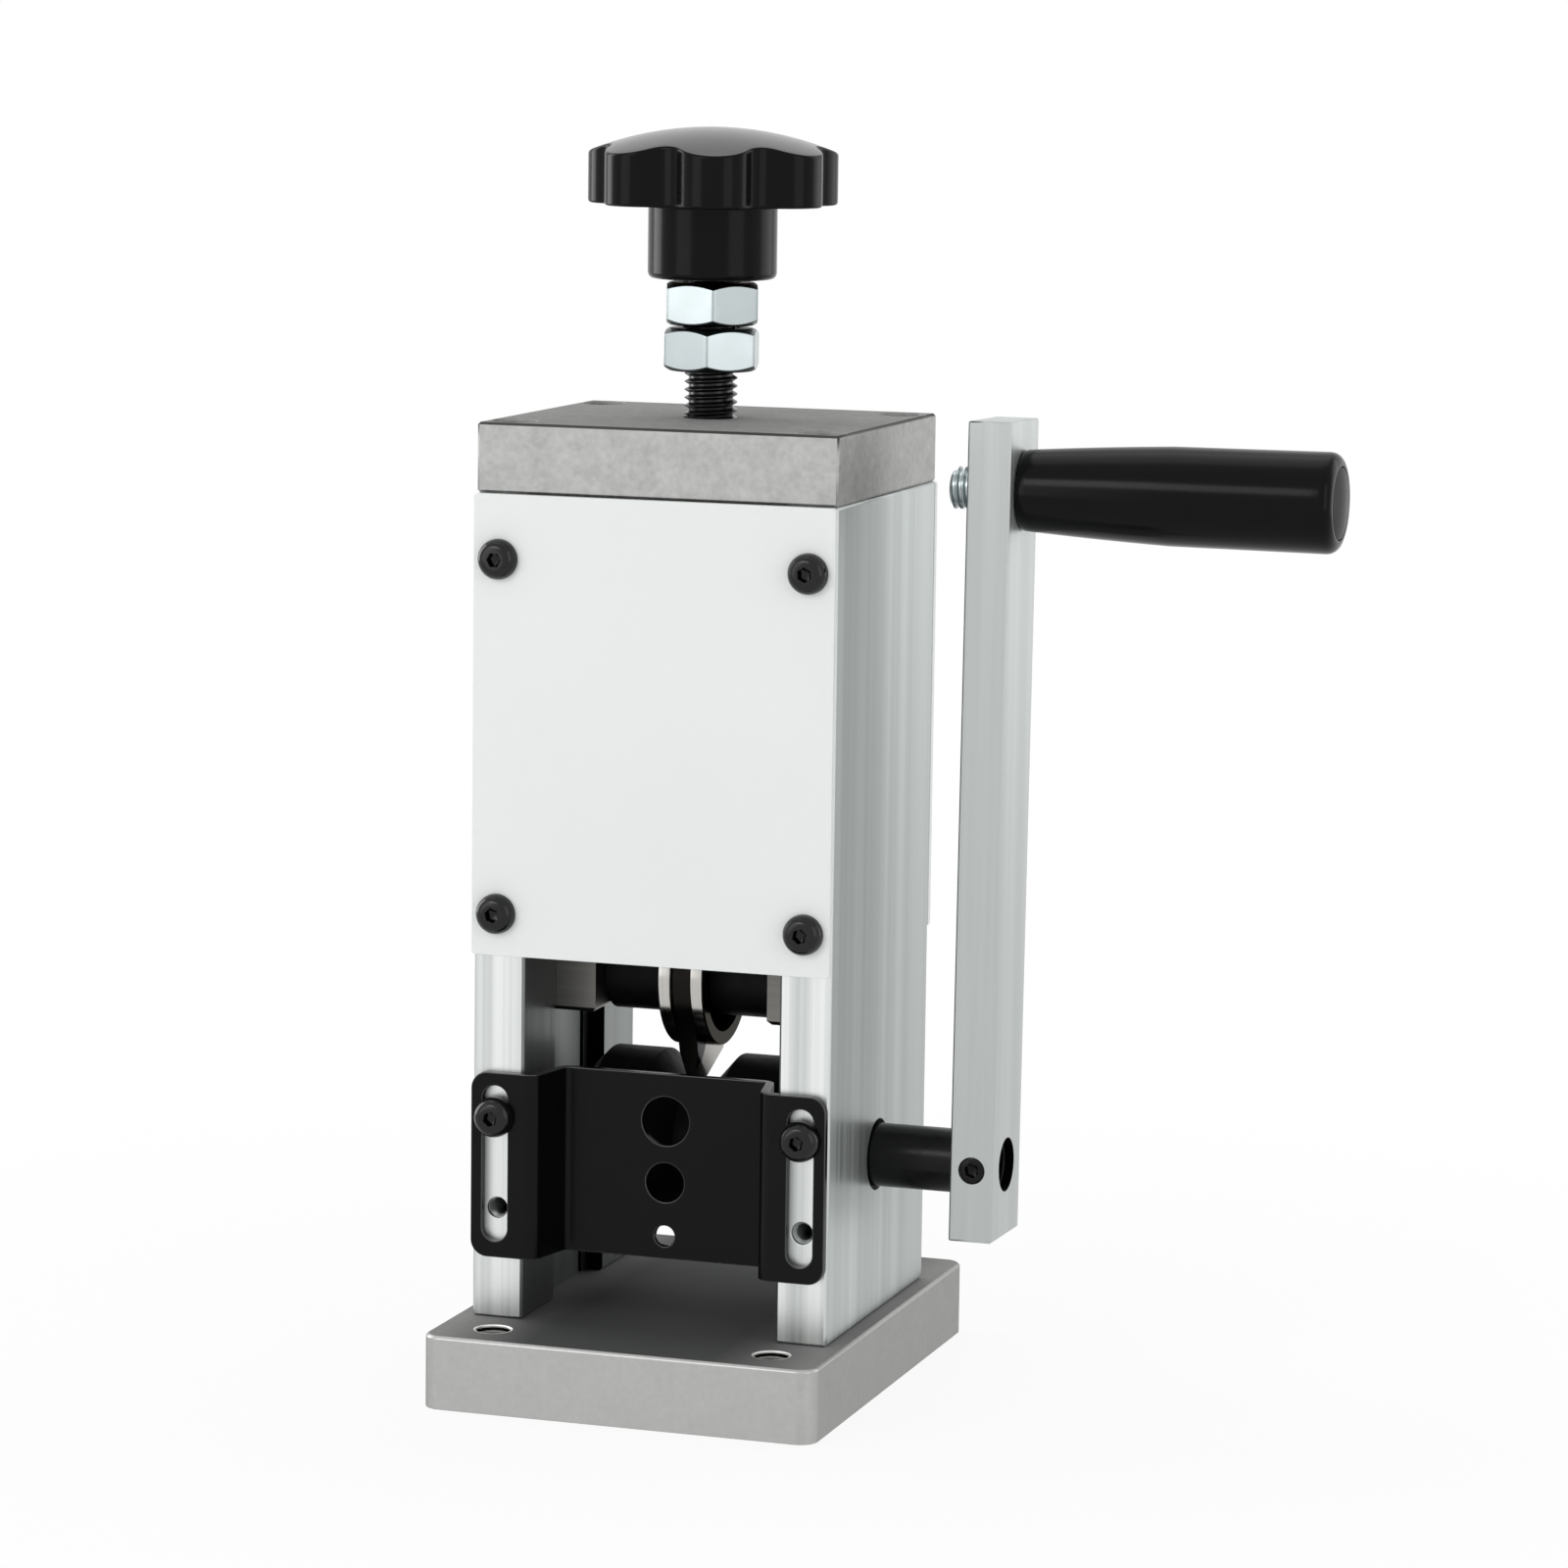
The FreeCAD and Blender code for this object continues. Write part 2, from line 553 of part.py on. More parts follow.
def handle_grip():
    """Moulded sleeve, waisted by the arm and swelling to the palm, hollow for its spindle."""
    def at(station, diameter):
        return point(station, diameter / 2, HANDLE_Z)

    bore = STUD_D + 2 * RUNNING_GAP
    pocket = STUD_HEAD_D + 2 * STUD_HEAD_PLAY
    shoulder = STUD_HEAD_IN - STUD_HEAD_PLAY
    swell = Part.Arc(at(GRIP_START, GRIP_ROOT_D), at(GRIP_START + GRIP_NECK_AT, GRIP_NECK_D),
                     at(GRIP_START + GRIP_BELLY_AT, GRIP_BELLY_D))
    palm = Part.makeLine(at(GRIP_START + GRIP_BELLY_AT, GRIP_BELLY_D),
                         at(GRIP_END - GRIP_END_R, GRIP_END_D))
    corner = GRIP_END_R * (1 - math.sqrt(0.5))
    edge = Part.Arc(at(GRIP_END - GRIP_END_R, GRIP_END_D), at(GRIP_END - corner, GRIP_END_D - 2 * corner),
                    at(GRIP_END, GRIP_END_D - 2 * GRIP_END_R))
    inside = [at(GRIP_END, GRIP_END_D - 2 * GRIP_END_R), at(GRIP_END, CAP_D), at(CAP_SEAT, CAP_D),
              at(CAP_SEAT, pocket), at(shoulder, pocket), at(shoulder, bore), at(GRIP_START, bore),
              at(GRIP_START, GRIP_ROOT_D)]
    outline = Part.Wire([swell.toShape(), palm, edge.toShape()] + Part.makePolygon(inside).Edges)
    return on_crank(Part.Face(outline).revolve(point(0, 0, HANDLE_Z), X_AXIS, 360))


def handle_cap():
    """Domed plug pressed into the handle's outer end."""
    rim = CAP_D - 2 * SEAT_GAP
    dome_r = ((rim / 2) ** 2 + CAP_DOME ** 2) / (2 * CAP_DOME)
    plug = bar(rim, point(CAP_SEAT, 0, HANDLE_Z), point(GRIP_END + CAP_DOME, 0, HANDLE_Z))
    return on_crank(plug.common(Part.makeSphere(dome_r, point(GRIP_END + CAP_DOME - dome_r, 0, HANDLE_Z))))


def blade_carriage():
    """Inverted U that slides in the two channels, bored for the knife axle and the screw's neck."""
    foot = KNIFE_Z - CHEEK_BELOW
    half_section = [(CHEEK_IN, BRIDGE_UNDER), (CHEEK_IN, foot), (CARRIAGE_SIDE, foot),
                    (CARRIAGE_SIDE, BRIDGE_TOP)]
    section = half_section + [(-x, z) for x, z in reversed(half_section)]
    outline = closed([point(x, -CARRIAGE_BACK, z) for x, z in section])
    body = prism(outline, Y_AXIS * 2 * CARRIAGE_BACK)
    long_edges = edges_where(body, lambda e: runs_along(e, Y_AXIS))
    crooks = [edge for edge in long_edges if abs(edge.Vertexes[0].Z - BRIDGE_UNDER) < TOUCH]
    body = body.makeFillet(BRIDGE_INNER_R, crooks)
    feet = edges_where(body, lambda e: max(v.Z for v in e.Vertexes) < foot + TOUCH)
    body = body.makeChamfer(CARRIAGE_EDGE, feet)
    axle = point(CARRIAGE_SIDE, 0, KNIFE_Z)
    body = body.cut(bar(AXLE_D + 2 * SEAT_GAP, point(-axle.x, 0, KNIFE_Z), axle))
    for side in (-1, 1):
        mouth = point(side * (CHEEK_IN + CARRIAGE_SIDE) / 2, CARRIAGE_BACK, KNIFE_Z)
        body = body.cut(bar(GRUB_D + 2 * SEAT_GAP, mouth, point(mouth.x, 0, KNIFE_Z)))
    under = point(0, 0, BRIDGE_UNDER)
    neck = bar(NECK_D + 2 * RUNNING_GAP, under, point(0, 0, BRIDGE_TOP))
    return body.cut(neck).cut(bar(RING_POCKET_D, under, point(0, 0, POCKET_CEILING)))


def axle_grub_screws():
    screw = grub_screw(AXLE_GRUB_LENGTH)
    seat = AXLE_D / 2 + AXLE_GRUB_LENGTH
    places = [point(side * (CHEEK_IN + CARRIAGE_SIDE) / 2, seat, KNIFE_Z) for side in (-1, 1)]
    return Part.makeCompound([aimed(screw, place, Y_AXIS) for place in places])


def knife_axle():
    end = CARRIAGE_SIDE - AXLE_END_GAP
    radius = AXLE_D / 2
    profile = [(0, -end), (radius - EDGE, -end), (radius, EDGE - end), (radius, end - EDGE),
               (radius - EDGE, end), (0, end)]
    return turned(profile, X_AXIS, point(0, 0, KNIFE_Z))


def right_knife_sleeve():
    inner = AXLE_D / 2 + SEAT_GAP
    outer = SLEEVE_D / 2
    profile = [(inner, RECESS_FLOOR), (outer, RECESS_FLOOR), (outer, CHEEK_IN), (inner, CHEEK_IN)]
    return turned(profile, X_AXIS, point(0, 0, KNIFE_Z))


def pin_places(x):
    angles = [math.radians(angle) for angle in PIN_ANGLES]
    return [point(x, PIN_CIRCLE_R * math.cos(a), KNIFE_Z + PIN_CIRCLE_R * math.sin(a)) for a in angles]


def pin_holes():
    through = X_AXIS * 2 * PACK_HALF
    return [bar(PIN_D + 2 * SEAT_GAP, place, place + through) for place in pin_places(-PACK_HALF)]


def right_knife_disc():
    """Polished clamping disc with a recess in its outer face for the sleeve and the pins."""
    inner = AXLE_D / 2 + SEAT_GAP
    outer = DISC_D / 2
    recess = DISC_RECESS_D / 2
    face = KNIFE_THICK / 2
    profile = [(inner, face), (outer - DISC_EDGE, face), (outer, face + DISC_EDGE),
               (outer, PACK_HALF - DISC_EDGE), (outer - DISC_EDGE, PACK_HALF), (recess, PACK_HALF),
               (recess, RECESS_FLOOR), (inner, RECESS_FLOOR)]
    return turned(profile, X_AXIS, point(0, 0, KNIFE_Z)).cut(pin_holes())


def ring_point(y, below=True):
    """Point of the knife's round part at a depth y from its axle."""
    drop = math.sqrt(KNIFE_RING_R ** 2 - y ** 2)
    return point(0, y, KNIFE_Z - drop if below else KNIFE_Z + drop)


def knife():
    """Fixed knife plate: a bored ring that runs out into a hooked beak pointing at the cable."""
    front = ring_point(BEAK_FRONT_Y)
    back = ring_point(BEAK_BACK_Y)
    tip = point(0, -TIP_FORWARD, KNIFE_Z - TIP_DROP)
    heel = point(0, BEAK_HEEL_Y, KNIFE_Z - BEAK_HEEL_DROP)
    breast = point(0, BEAK_BREAST_Y, KNIFE_Z - BEAK_BREAST_DROP)
    outline = Part.Wire([Part.Arc(front, ring_point(0, below=False), back).toShape(),
                         Part.makeLine(back, heel), Part.makeLine(heel, tip),
                         Part.Arc(tip, breast, front).toShape()])
    plate = prism(outline, X_AXIS * KNIFE_THICK)
    plate.translate(X_AXIS * (-KNIFE_THICK / 2))
    bore = bar(AXLE_D + 2 * SEAT_GAP, point(-KNIFE_THICK, 0, KNIFE_Z), point(KNIFE_THICK, 0, KNIFE_Z))
    return plate.cut(bore).cut(pin_holes()).common(tip_grind(tip, (breast + heel) * 0.5))


def tip_grind(tip, root):
    """Wedge that leaves the plate whole and thins the beak to its edge over the last stretch."""
    up = (root - tip).normalize()
    across = up.cross(X_AXIS)
    room = 2 * (TIP_DROP + KNIFE_RING_R)
    right = [(TIP_EDGE / 2, -TIP_EDGE), (TIP_EDGE / 2, 0), (KNIFE_THICK / 2, TIP_GRIND),
             (KNIFE_THICK / 2, room)]
    section = right + [(-x, u) for x, u in reversed(right)]
    outline = closed([tip + X_AXIS * x + up * u - across * room for x, u in section])
    return prism(outline, across * 2 * room)


def knife_pins():
    through = X_AXIS * 2 * RECESS_FLOOR
    return Part.makeCompound([bar(PIN_D, place, place + through) for place in pin_places(-RECESS_FLOOR)])


def thrust_washer():
    inner = NECK_D / 2 + RUNNING_GAP
    outer = WASHER_D / 2
    profile = [(inner, 0), (outer, 0), (outer, WASHER_THICK), (inner, WASHER_THICK)]
    return turned(profile, Z_AXIS, point(0, 0, BRIDGE_TOP))


def adjusting_screw():
    """Screw with a turned neck that hangs the carriage, grooved for the retaining ring."""
    neck = NECK_D / 2
    groove = RING_GROOVE_D / 2
    thread = SCREW_D / 2
    ring_top = POCKET_CEILING - END_PLAY
    foot = BRIDGE_UNDER + EDGE
    top = HUB_Z + INSERT_LENGTH
    profile = [(0, foot), (neck, foot), (neck, ring_top - RING_THICK), (groove, ring_top - RING_THICK),
               (groove, ring_top), (neck, ring_top), (neck, SHOULDER_Z), (thread, SHOULDER_Z),
               (thread, top - EDGE), (thread - EDGE, top), (0, top)]
    return turned(profile, Z_AXIS, ORIGIN)


def retaining_ring():
    """Open spring ring in the groove of the screw's neck."""
    top = POCKET_CEILING - END_PLAY
    under = point(0, 0, top - RING_THICK)
    ring = bar(RING_D, under, point(0, 0, top))
    hole = bar(RING_GROOVE_D + 2 * SEAT_GAP, under, point(0, 0, top))
    mouth = block(under - X_AXIS * (RING_SLOT / 2), point(RING_SLOT / 2, RING_D, top))
    return ring.cut(hole).cut(mouth)


def hex_nut(bottom, turn):
    """Nut with both ends of its hexagon turned to a cone."""
    corner = NUT_FLATS / math.sqrt(3)
    slope = (corner - NUT_FACE_D / 2) * math.tan(math.radians(NUT_CONE))
    face = NUT_FACE_D / 2
    profile = [(0, 0), (face, 0), (corner, slope), (corner, NUT_HEIGHT - slope), (face, NUT_HEIGHT),
               (0, NUT_HEIGHT)]
    foot = point(0, 0, bottom)
    nut = hexagon(NUT_FLATS, foot, NUT_HEIGHT, turn).common(turned(profile, Z_AXIS, foot))
    return nut.cut(bar(SCREW_D + 2 * RUNNING_GAP, foot, foot + Z_AXIS * NUT_HEIGHT))


def star_outline(z):
    """Outline of the knob's head: round lobes joined by tangent hollows."""
    step = math.pi / STAR_LOBES
    lobe_centre = STAR_REACH - STAR_LOBE_R
    spread = STAR_LOBE_R + STAR_VALLEY_R
    aside = lobe_centre * math.sin(step)
    valley_centre = lobe_centre * math.cos(step) + math.sqrt(spread ** 2 - aside ** 2)

    def polar(radius, angle):
        return point(radius * math.cos(angle), radius * math.sin(angle), z)

    edges = []
    for lobe in range(STAR_LOBES):
        middle = math.radians(STAR_TURN) + 2 * step * lobe
        centre = polar(lobe_centre, middle)
        joins = [centre + (polar(valley_centre, middle + side * step) - centre) * (STAR_LOBE_R / spread)
                 for side in (-1, 1)]
        following = polar(lobe_centre, middle + 2 * step)
        next_join = following + (polar(valley_centre, middle + step) - following) * (STAR_LOBE_R / spread)
        hollow = polar(valley_centre - STAR_VALLEY_R, middle + step)
        edges.append(Part.Arc(joins[0], polar(STAR_REACH, middle), joins[1]).toShape())
        edges.append(Part.Arc(joins[1], hollow, next_join).toShape())
    return Part.Wire(edges)


def star_knob():
    """Moulded knob: lobed head under a shallow dome, hollow beneath, on a round hub."""
    head = prism(star_outline(STAR_Z), Z_AXIS * (STAR_RIM_HEIGHT + STAR_CROWN))
    dome_r = (STAR_REACH ** 2 + STAR_CROWN ** 2) / (2 * STAR_CROWN)
    head = head.common(Part.makeSphere(dome_r, point(0, 0, RIM_TOP + STAR_CROWN - dome_r), X_AXIS))
    pocket_top = STAR_Z + STAR_POCKET_DEPTH
    pocket = [(STAR_POCKET_INNER_R, STAR_Z), (STAR_POCKET_OUTER_R, STAR_Z),
              (STAR_POCKET_OUTER_R, pocket_top), (STAR_POCKET_INNER_R, pocket_top)]
    head = head.cut(turned(pocket, Z_AXIS, ORIGIN))
    hub = bar(HUB_D, point(0, 0, HUB_Z), point(0, 0, STAR_Z))
    hub = hub.makeFillet(HUB_EDGE_R, edges_where(hub, lambda e: e.BoundBox.ZMax < HUB_Z + TOUCH))
    knob = head.fuse(hub).removeSplitter()
    return knob.cut(bar(INSERT_D + 2 * SEAT_GAP, point(0, 0, HUB_Z), point(0, 0, HUB_Z + INSERT_LENGTH)))


def knob_insert():
    inner = SCREW_D / 2 + SEAT_GAP
    top = HUB_Z + INSERT_LENGTH
    profile = [(inner, HUB_Z), (INSERT_D / 2, HUB_Z), (INSERT_D / 2, top), (inner, top)]
    return turned(profile, Z_AXIS, ORIGIN)


def pieces():
    """Every piece of the machine by name."""
    plate = right_side_plate()
    bush = right_bush()
    spacer = right_spacer()
    wheel = right_feed_wheel()
    sleeve = right_knife_sleeve()
    disc = right_knife_disc()
    cover = front_cover()
    cover_screws = front_cover_screws()
    return {
        "base_plate": base_plate(),
        "base_screws": base_screws(),
        "right_side_plate": plate,
        "left_side_plate": mirrored(plate, X_AXIS),
        "top_block": top_block(),
        "top_block_screws": top_block_screws(),
        "front_cover": cover,
        "rear_cover": mirrored(cover, Y_AXIS),
        "front_cover_screws": cover_screws,
        "rear_cover_screws": mirrored(cover_screws, Y_AXIS),
        "right_bush": bush,
        "left_bush": mirrored(bush, X_AXIS),
        "guide_screws": guide_screws(),
        "guide_plate": guide_plate(),
        "drive_shaft": drive_shaft(),
        "right_feed_wheel": on_crank(wheel.copy()),
        "left_feed_wheel": on_crank(mirrored(wheel, X_AXIS)),
        "groove_ring": groove_ring(),
        "wheel_grub_screws": wheel_grub_screws(),
        "right_spacer": spacer,
        "left_spacer": mirrored(spacer, X_AXIS),
        "crank_arm": crank_arm(),
        "crank_grub_screw": crank_grub_screw(),
        "handle_stud": handle_stud(),
        "handle_grip": handle_grip(),
        "handle_cap": handle_cap(),
        "blade_carriage": blade_carriage(),
        "axle_grub_screws": axle_grub_screws(),
        "knife_axle": knife_axle(),
        "right_knife_sleeve": sleeve,
        "left_knife_sleeve": mirrored(sleeve, X_AXIS),
        "right_knife_disc": disc,
        "left_knife_disc": mirrored(disc, X_AXIS),
        "knife": knife(),
        "knife_pins": knife_pins(),
        "thrust_washer": thrust_washer(),
        "adjusting_screw": adjusting_screw(),
        "retaining_ring": retaining_ring(),
        "depth_lock_nut": hex_nut(LOWER_NUT_Z, NUT_TURN_LOWER),
        "knob_lock_nut": hex_nut(UPPER_NUT_Z, NUT_TURN_UPPER),
        "star_knob": star_knob(),
        "knob_insert": knob_insert(),
    }


os.makedirs("parts", exist_ok=True)
for name, shape in pieces().items():
    shape.exportStep("parts/" + name + ".step")
    state = "valid" if shape.isValid() else "INVALID"
    print(name, len(shape.Solids), "solids", round(shape.Volume, 1), "mm3", state)
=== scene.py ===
# %% [markdown]
# # A hand-cranked wire stripper
# This lesson dresses a small bench machine that slits the skin of old cables. A CAD program made the
# working parts. Blender gives them their finishes, rounds their hard edges, and adds what is too
# small for the CAD model: hexagon sockets, threads and the soft corners of the knob.

import json
import math

import bmesh
import bpy
from mathutils import Matrix, Vector


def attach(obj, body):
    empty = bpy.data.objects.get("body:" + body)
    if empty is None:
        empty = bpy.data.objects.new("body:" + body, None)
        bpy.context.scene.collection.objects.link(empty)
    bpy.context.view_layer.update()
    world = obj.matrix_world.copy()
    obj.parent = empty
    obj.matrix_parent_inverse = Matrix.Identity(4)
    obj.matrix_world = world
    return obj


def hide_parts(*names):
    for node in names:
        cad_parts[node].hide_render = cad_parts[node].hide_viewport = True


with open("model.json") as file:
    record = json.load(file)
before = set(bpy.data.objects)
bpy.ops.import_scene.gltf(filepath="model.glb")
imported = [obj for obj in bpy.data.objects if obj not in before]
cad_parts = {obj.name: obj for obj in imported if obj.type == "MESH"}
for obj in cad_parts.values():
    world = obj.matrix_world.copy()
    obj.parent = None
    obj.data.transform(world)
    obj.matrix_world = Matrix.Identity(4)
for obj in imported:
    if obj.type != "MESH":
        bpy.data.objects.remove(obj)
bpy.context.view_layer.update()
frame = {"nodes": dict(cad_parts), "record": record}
MM = 0.001
cad_part = frame["nodes"]
behaviour = frame["record"]["behaviour"]
body_of = {node: body for body, members in behaviour["bodies"].items() for node in members}
slot_of = {part["node"]: part["material_slot"] for part in frame["record"]["subparts"]}

# %% [markdown]
# ## Tools for the finishes
# Every finish is a node material. It reads Object coordinates, which are metres in the machine's own
# frame, and a Mapping node turns them into millimetres. A pattern's scale is then one over the size
# of its grain. Colours are written as the hex values that a colour picker shows, and one function
# turns them into the linear values that Blender's sockets take. Another adds a node and links it.

# %% Colour, node and material helpers
def colour(code):
    """Linear RGBA from an sRGB hex value such as #b0afac."""
    shares = [int(code[i:i + 2], 16) / 255 for i in (1, 3, 5)]
    linear = [s / 12.92 if s <= 0.04045 else ((s + 0.055) / 1.055) ** 2.4 for s in shares]
    return (*linear, 1.0)


def add(tree, kind, values):
    """Adds a node, whose kind a mode may follow. Nodes and outputs among the values are linked."""
    kind, *mode = kind.split()
    node = tree.nodes.new("ShaderNode" + kind)
    if mode:
        setattr(node, "data_type" if kind == "Mix" else "operation", mode[0])
    for key, value in values.items():
        if isinstance(value, bpy.types.Node):
            value = next(output for output in value.outputs if output.enabled)
        if isinstance(value, bpy.types.NodeSocket):
            tree.links.new(value, node.inputs[key])
        elif isinstance(key, int) or key in node.inputs:
            node.inputs[key].default_value = colour(value) if isinstance(value, str) else value
        else:
            setattr(node, key, value)
    return node


def empty_tree(block):
    """The node tree of a material or a world, with nothing in it."""
    block.use_nodes = True
    block.node_tree.nodes.clear()
    return block.node_tree


def new_finish(name):
    """A material, its tree, and the surface's place in millimetres and its direction."""
    material = bpy.data.materials.new(name)
    tree = empty_tree(material)
    here = add(tree, "TexCoord", {})
    mm = add(tree, "Mapping", {"Vector": here.outputs["Object"], "Scale": (1 / MM, 1 / MM, 1 / MM)})
    return material, tree, mm, here.outputs["Normal"]


def complete(material, values):
    """Joins a shader with the given values to a finish's output."""
    shader = add(material.node_tree, "BsdfPrincipled", values)
    add(material.node_tree, "OutputMaterial", {"Surface": shader})
    print("made", material.name)


print("helpers ready")

# %% [markdown]
# ## Blasted steel
# The base and the top block are sawn from steel plate and blasted with small beads to an even, slightly warm
# grey, finer on the base than on the block. The upper faces are rougher, and their darker grey is painted
# shade. On the base, painted shade darkens them further between the legs, under the guide plate and the
# wheels. The top block's upper edges get a dark line of painted shade, which the tilt of the surface places
# there. Real grit is about 0.1 mm, too fine for this picture, so it is drawn at 1.3 mm.

# %% Blasted steel: grain, and painted shade on tops and edges
HALFWAY_UP = 100.0      # between the base and the top block
SHADE_EDGE, SHADE_MIDDLE = 36.0, 18.0
blasted_steel, tree, mm, normal = new_finish("bead_blasted_steel")
clouds = add(tree, "TexNoise", {"Vector": mm, "Scale": 1 / 5.0, "Detail": 5.0, "Roughness": 0.7})
grit = add(tree, "TexNoise", {"Vector": mm, "Scale": 1 / 1.3, "Detail": 3.0})
both = add(tree, "Mix FLOAT", {0: 0.5, 2: clouds, 3: grit})
patchy = add(tree, "MapRange", {"Value": both, "From Min": 0.36, "From Max": 0.64})
at = add(tree, "SeparateXYZ", {"Vector": mm}).outputs
on_base = add(tree, "Math LESS_THAN", {0: at["Z"], 1: HALFWAY_UP})
calm = add(tree, "Math MULTIPLY", {0: on_base, 1: 0.7})
speckle = add(tree, "Mix FLOAT", {0: calm, 2: patchy, 3: 0.5})
sides = add(tree, "Mix RGBA", {0: speckle, 6: "#a2a2a1", 7: "#b8b8b6"})
# the upper faces' darker grey is painted shade
upper_painted_shade = add(tree, "Mix RGBA", {0: speckle, 6: "#888887", 7: "#989897"})
aside = add(tree, "Math ABSOLUTE", {0: at["X"]})
# painted shade on the base's top between the legs, under the guide plate and the wheels
painted_shade_between_legs = add(tree, "MapRange", {"Value": aside, "From Min": SHADE_EDGE, "From Max": SHADE_MIDDLE})
base_painted_shade = add(tree, "Math MULTIPLY", {0: painted_shade_between_legs, 1: on_base})
shaded_top = add(tree, "Mix RGBA", {0: base_painted_shade, 6: upper_painted_shade, 7: "#5c5d5d"})
facing = add(tree, "SeparateXYZ", {"Vector": normal}).outputs
upward = add(tree, "MapRange", {"Value": facing["Z"], "From Min": 0.86, "From Max": 0.96})
blasted = add(tree, "Mix RGBA", {0: upward, 6: sides, 7: shaded_top})
# a dark line of painted shade on the top block's upper edges, found by their tilt
tilted = add(tree, "MapRange", {"Value": facing["Z"], "From Min": 0.5, "From Max": 0.7})
not_flat = add(tree, "MapRange", {"Value": facing["Z"], "From Min": 0.98, "From Max": 0.9})
edge = add(tree, "Math MULTIPLY", {0: tilted, 1: not_flat})
on_block = add(tree, "Math GREATER_THAN", {0: at["Z"], 1: HALFWAY_UP})
painted_shade_edge = add(tree, "Math MULTIPLY", {0: edge, 1: on_block})
skin = add(tree, "Mix RGBA", {0: painted_shade_edge, 6: blasted, 7: "#4a4a49"})
grain = add(tree, "MapRange", {"Value": grit, "To Min": 0.52, "To Max": 0.66})
fine = add(tree, "Mix FLOAT", {0: on_base, 2: grain, 3: 0.41})
rough = add(tree, "Mix FLOAT", {0: upward, 2: fine, 3: 0.75})
print("grain of", blasted_steel.name, "from", len(tree.nodes), "nodes")

# %% [markdown]
# ## Bolt holes in the steel
# The base's four bolt holes are drilled last. Their walls are painted: a bright painted highlight at the rim,
# a dark line of painted shade just below it, and painted shade further down. With the signs of X and Y taken
# away, all four holes lie in one place, so one distance from a hole's axis does for all of them. Height then
# tells the rim from the rest.

# %% Blasted steel: drilled holes
BASE_TOP = 14.0
BOLT_HOLE, BOLT_HOLE_R = (27.3, 39.0, 0.0), 3.6
quarter = add(tree, "VectorMath ABSOLUTE", {0: mm})
level = add(tree, "VectorMath MULTIPLY", {0: quarter, 1: (1.0, 1.0, 0.0)})
away = add(tree, "VectorMath DISTANCE", {0: level, 1: BOLT_HOLE})
drilled = add(tree, "MapRange", {"Value": away, "From Min": BOLT_HOLE_R + 0.1, "From Max": BOLT_HOLE_R})
below_rim = add(tree, "Math COMPARE", {0: at["Z"], 1: BASE_TOP - 0.75, 2: 0.3})
deep = add(tree, "MapRange", {"Value": at["Z"], "From Min": BASE_TOP - 1.2, "From Max": BASE_TOP - 1.8})
hole_painted_shade = add(tree, "Math MAXIMUM", {0: below_rim, 1: deep})
# painted hole wall: bright painted highlight, with painted shade in a line below the rim and deeper down
painted_hole_wall = add(tree, "Mix RGBA", {0: hole_painted_shade, 6: "#f6f6f4", 7: "#1d1d1c"})
tone = add(tree, "Mix RGBA", {0: drilled, 6: skin, 7: painted_hole_wall})
shine = add(tree, "Mix FLOAT", {0: drilled, 2: rough, 3: 0.45})
relief = add(tree, "Bump", {"Height": grit, "Strength": 0.06, "Distance": 0.04 * MM})
complete(blasted_steel, {"Metallic": 1.0, "Specular Tint": "#b8b8b6", "Base Color": tone, "Roughness": shine,
                         "Normal": relief})

# %% [markdown]
# ## Extruded aluminium
# The side plates and the crank arm are pressed through a die, so every mark on them runs along
# their length: soft bands a few millimetres wide and fine lines. Noise that is stretched along Z
# gives both. The plates' narrow outer edges were milled afterwards and are brighter. The die lines
# smear a reflection sideways and leave it sharp along them. An anisotropic shader does that along its
# tangent, which is the cross product of the surface's direction and a line that is nearly Z, so that
# it never vanishes.

# %% Extruded aluminium: bands, lines and milled edges
ARM_FROM = 40.0         # between the right plate and the arm
MILLED_FROM = 28.0      # a little behind the plates' outer edges
extruded_aluminium, tree, mm, normal = new_finish("extruded_aluminium")
lengthwise = add(tree, "Mapping", {"Vector": mm, "Scale": (1 / 0.9, 1 / 0.9, 1 / 700)})
die_lines = add(tree, "TexNoise", {"Vector": lengthwise, "Scale": 1.0, "Detail": 2.0})
wide = add(tree, "Mapping", {"Vector": mm, "Scale": (1 / 4.5, 1 / 6.0, 1 / 900)})
bands = add(tree, "TexNoise", {"Vector": wide, "Scale": 1.0, "Detail": 2.0})
both = add(tree, "Mix FLOAT", {0: 0.35, 2: bands, 3: die_lines})
spread = add(tree, "MapRange", {"Value": both, "From Min": 0.33, "From Max": 0.67})
drawn, arm, milled, land_painted_shade = [
    add(tree, "Mix RGBA", {0: spread, 6: darkest, 7: palest})
    for darkest, palest in (("#a5aaa9", "#c2c7c6"), ("#adb1b0", "#bdc1c0"), ("#c4c8c6", "#f5f7f6"),
                            ("#808483", "#9da1a0"))]
at = add(tree, "SeparateXYZ", {"Vector": mm}).outputs
facing = add(tree, "SeparateXYZ", {"Vector": normal}).outputs
across = add(tree, "VectorMath CROSS_PRODUCT", {0: normal, 1: (0.02, 0.03, 1.0)})
sideways = add(tree, "VectorTransform", {"vector_type": "VECTOR", "convert_from": "OBJECT",
                                         "convert_to": "WORLD", 0: across})
edgewise = add(tree, "Math ABSOLUTE", {0: facing["Y"]})
edge = add(tree, "MapRange", {"Value": edgewise, "From Min": 0.5, "From Max": 0.9})
plate = add(tree, "Math LESS_THAN", {0: at["X"], 1: ARM_FROM})
plate_edge = add(tree, "Math MULTIPLY", {0: edge, 1: plate})
depth = add(tree, "Math ABSOLUTE", {0: at["Y"]})
outermost = add(tree, "Math GREATER_THAN", {0: depth, 1: MILLED_FROM})
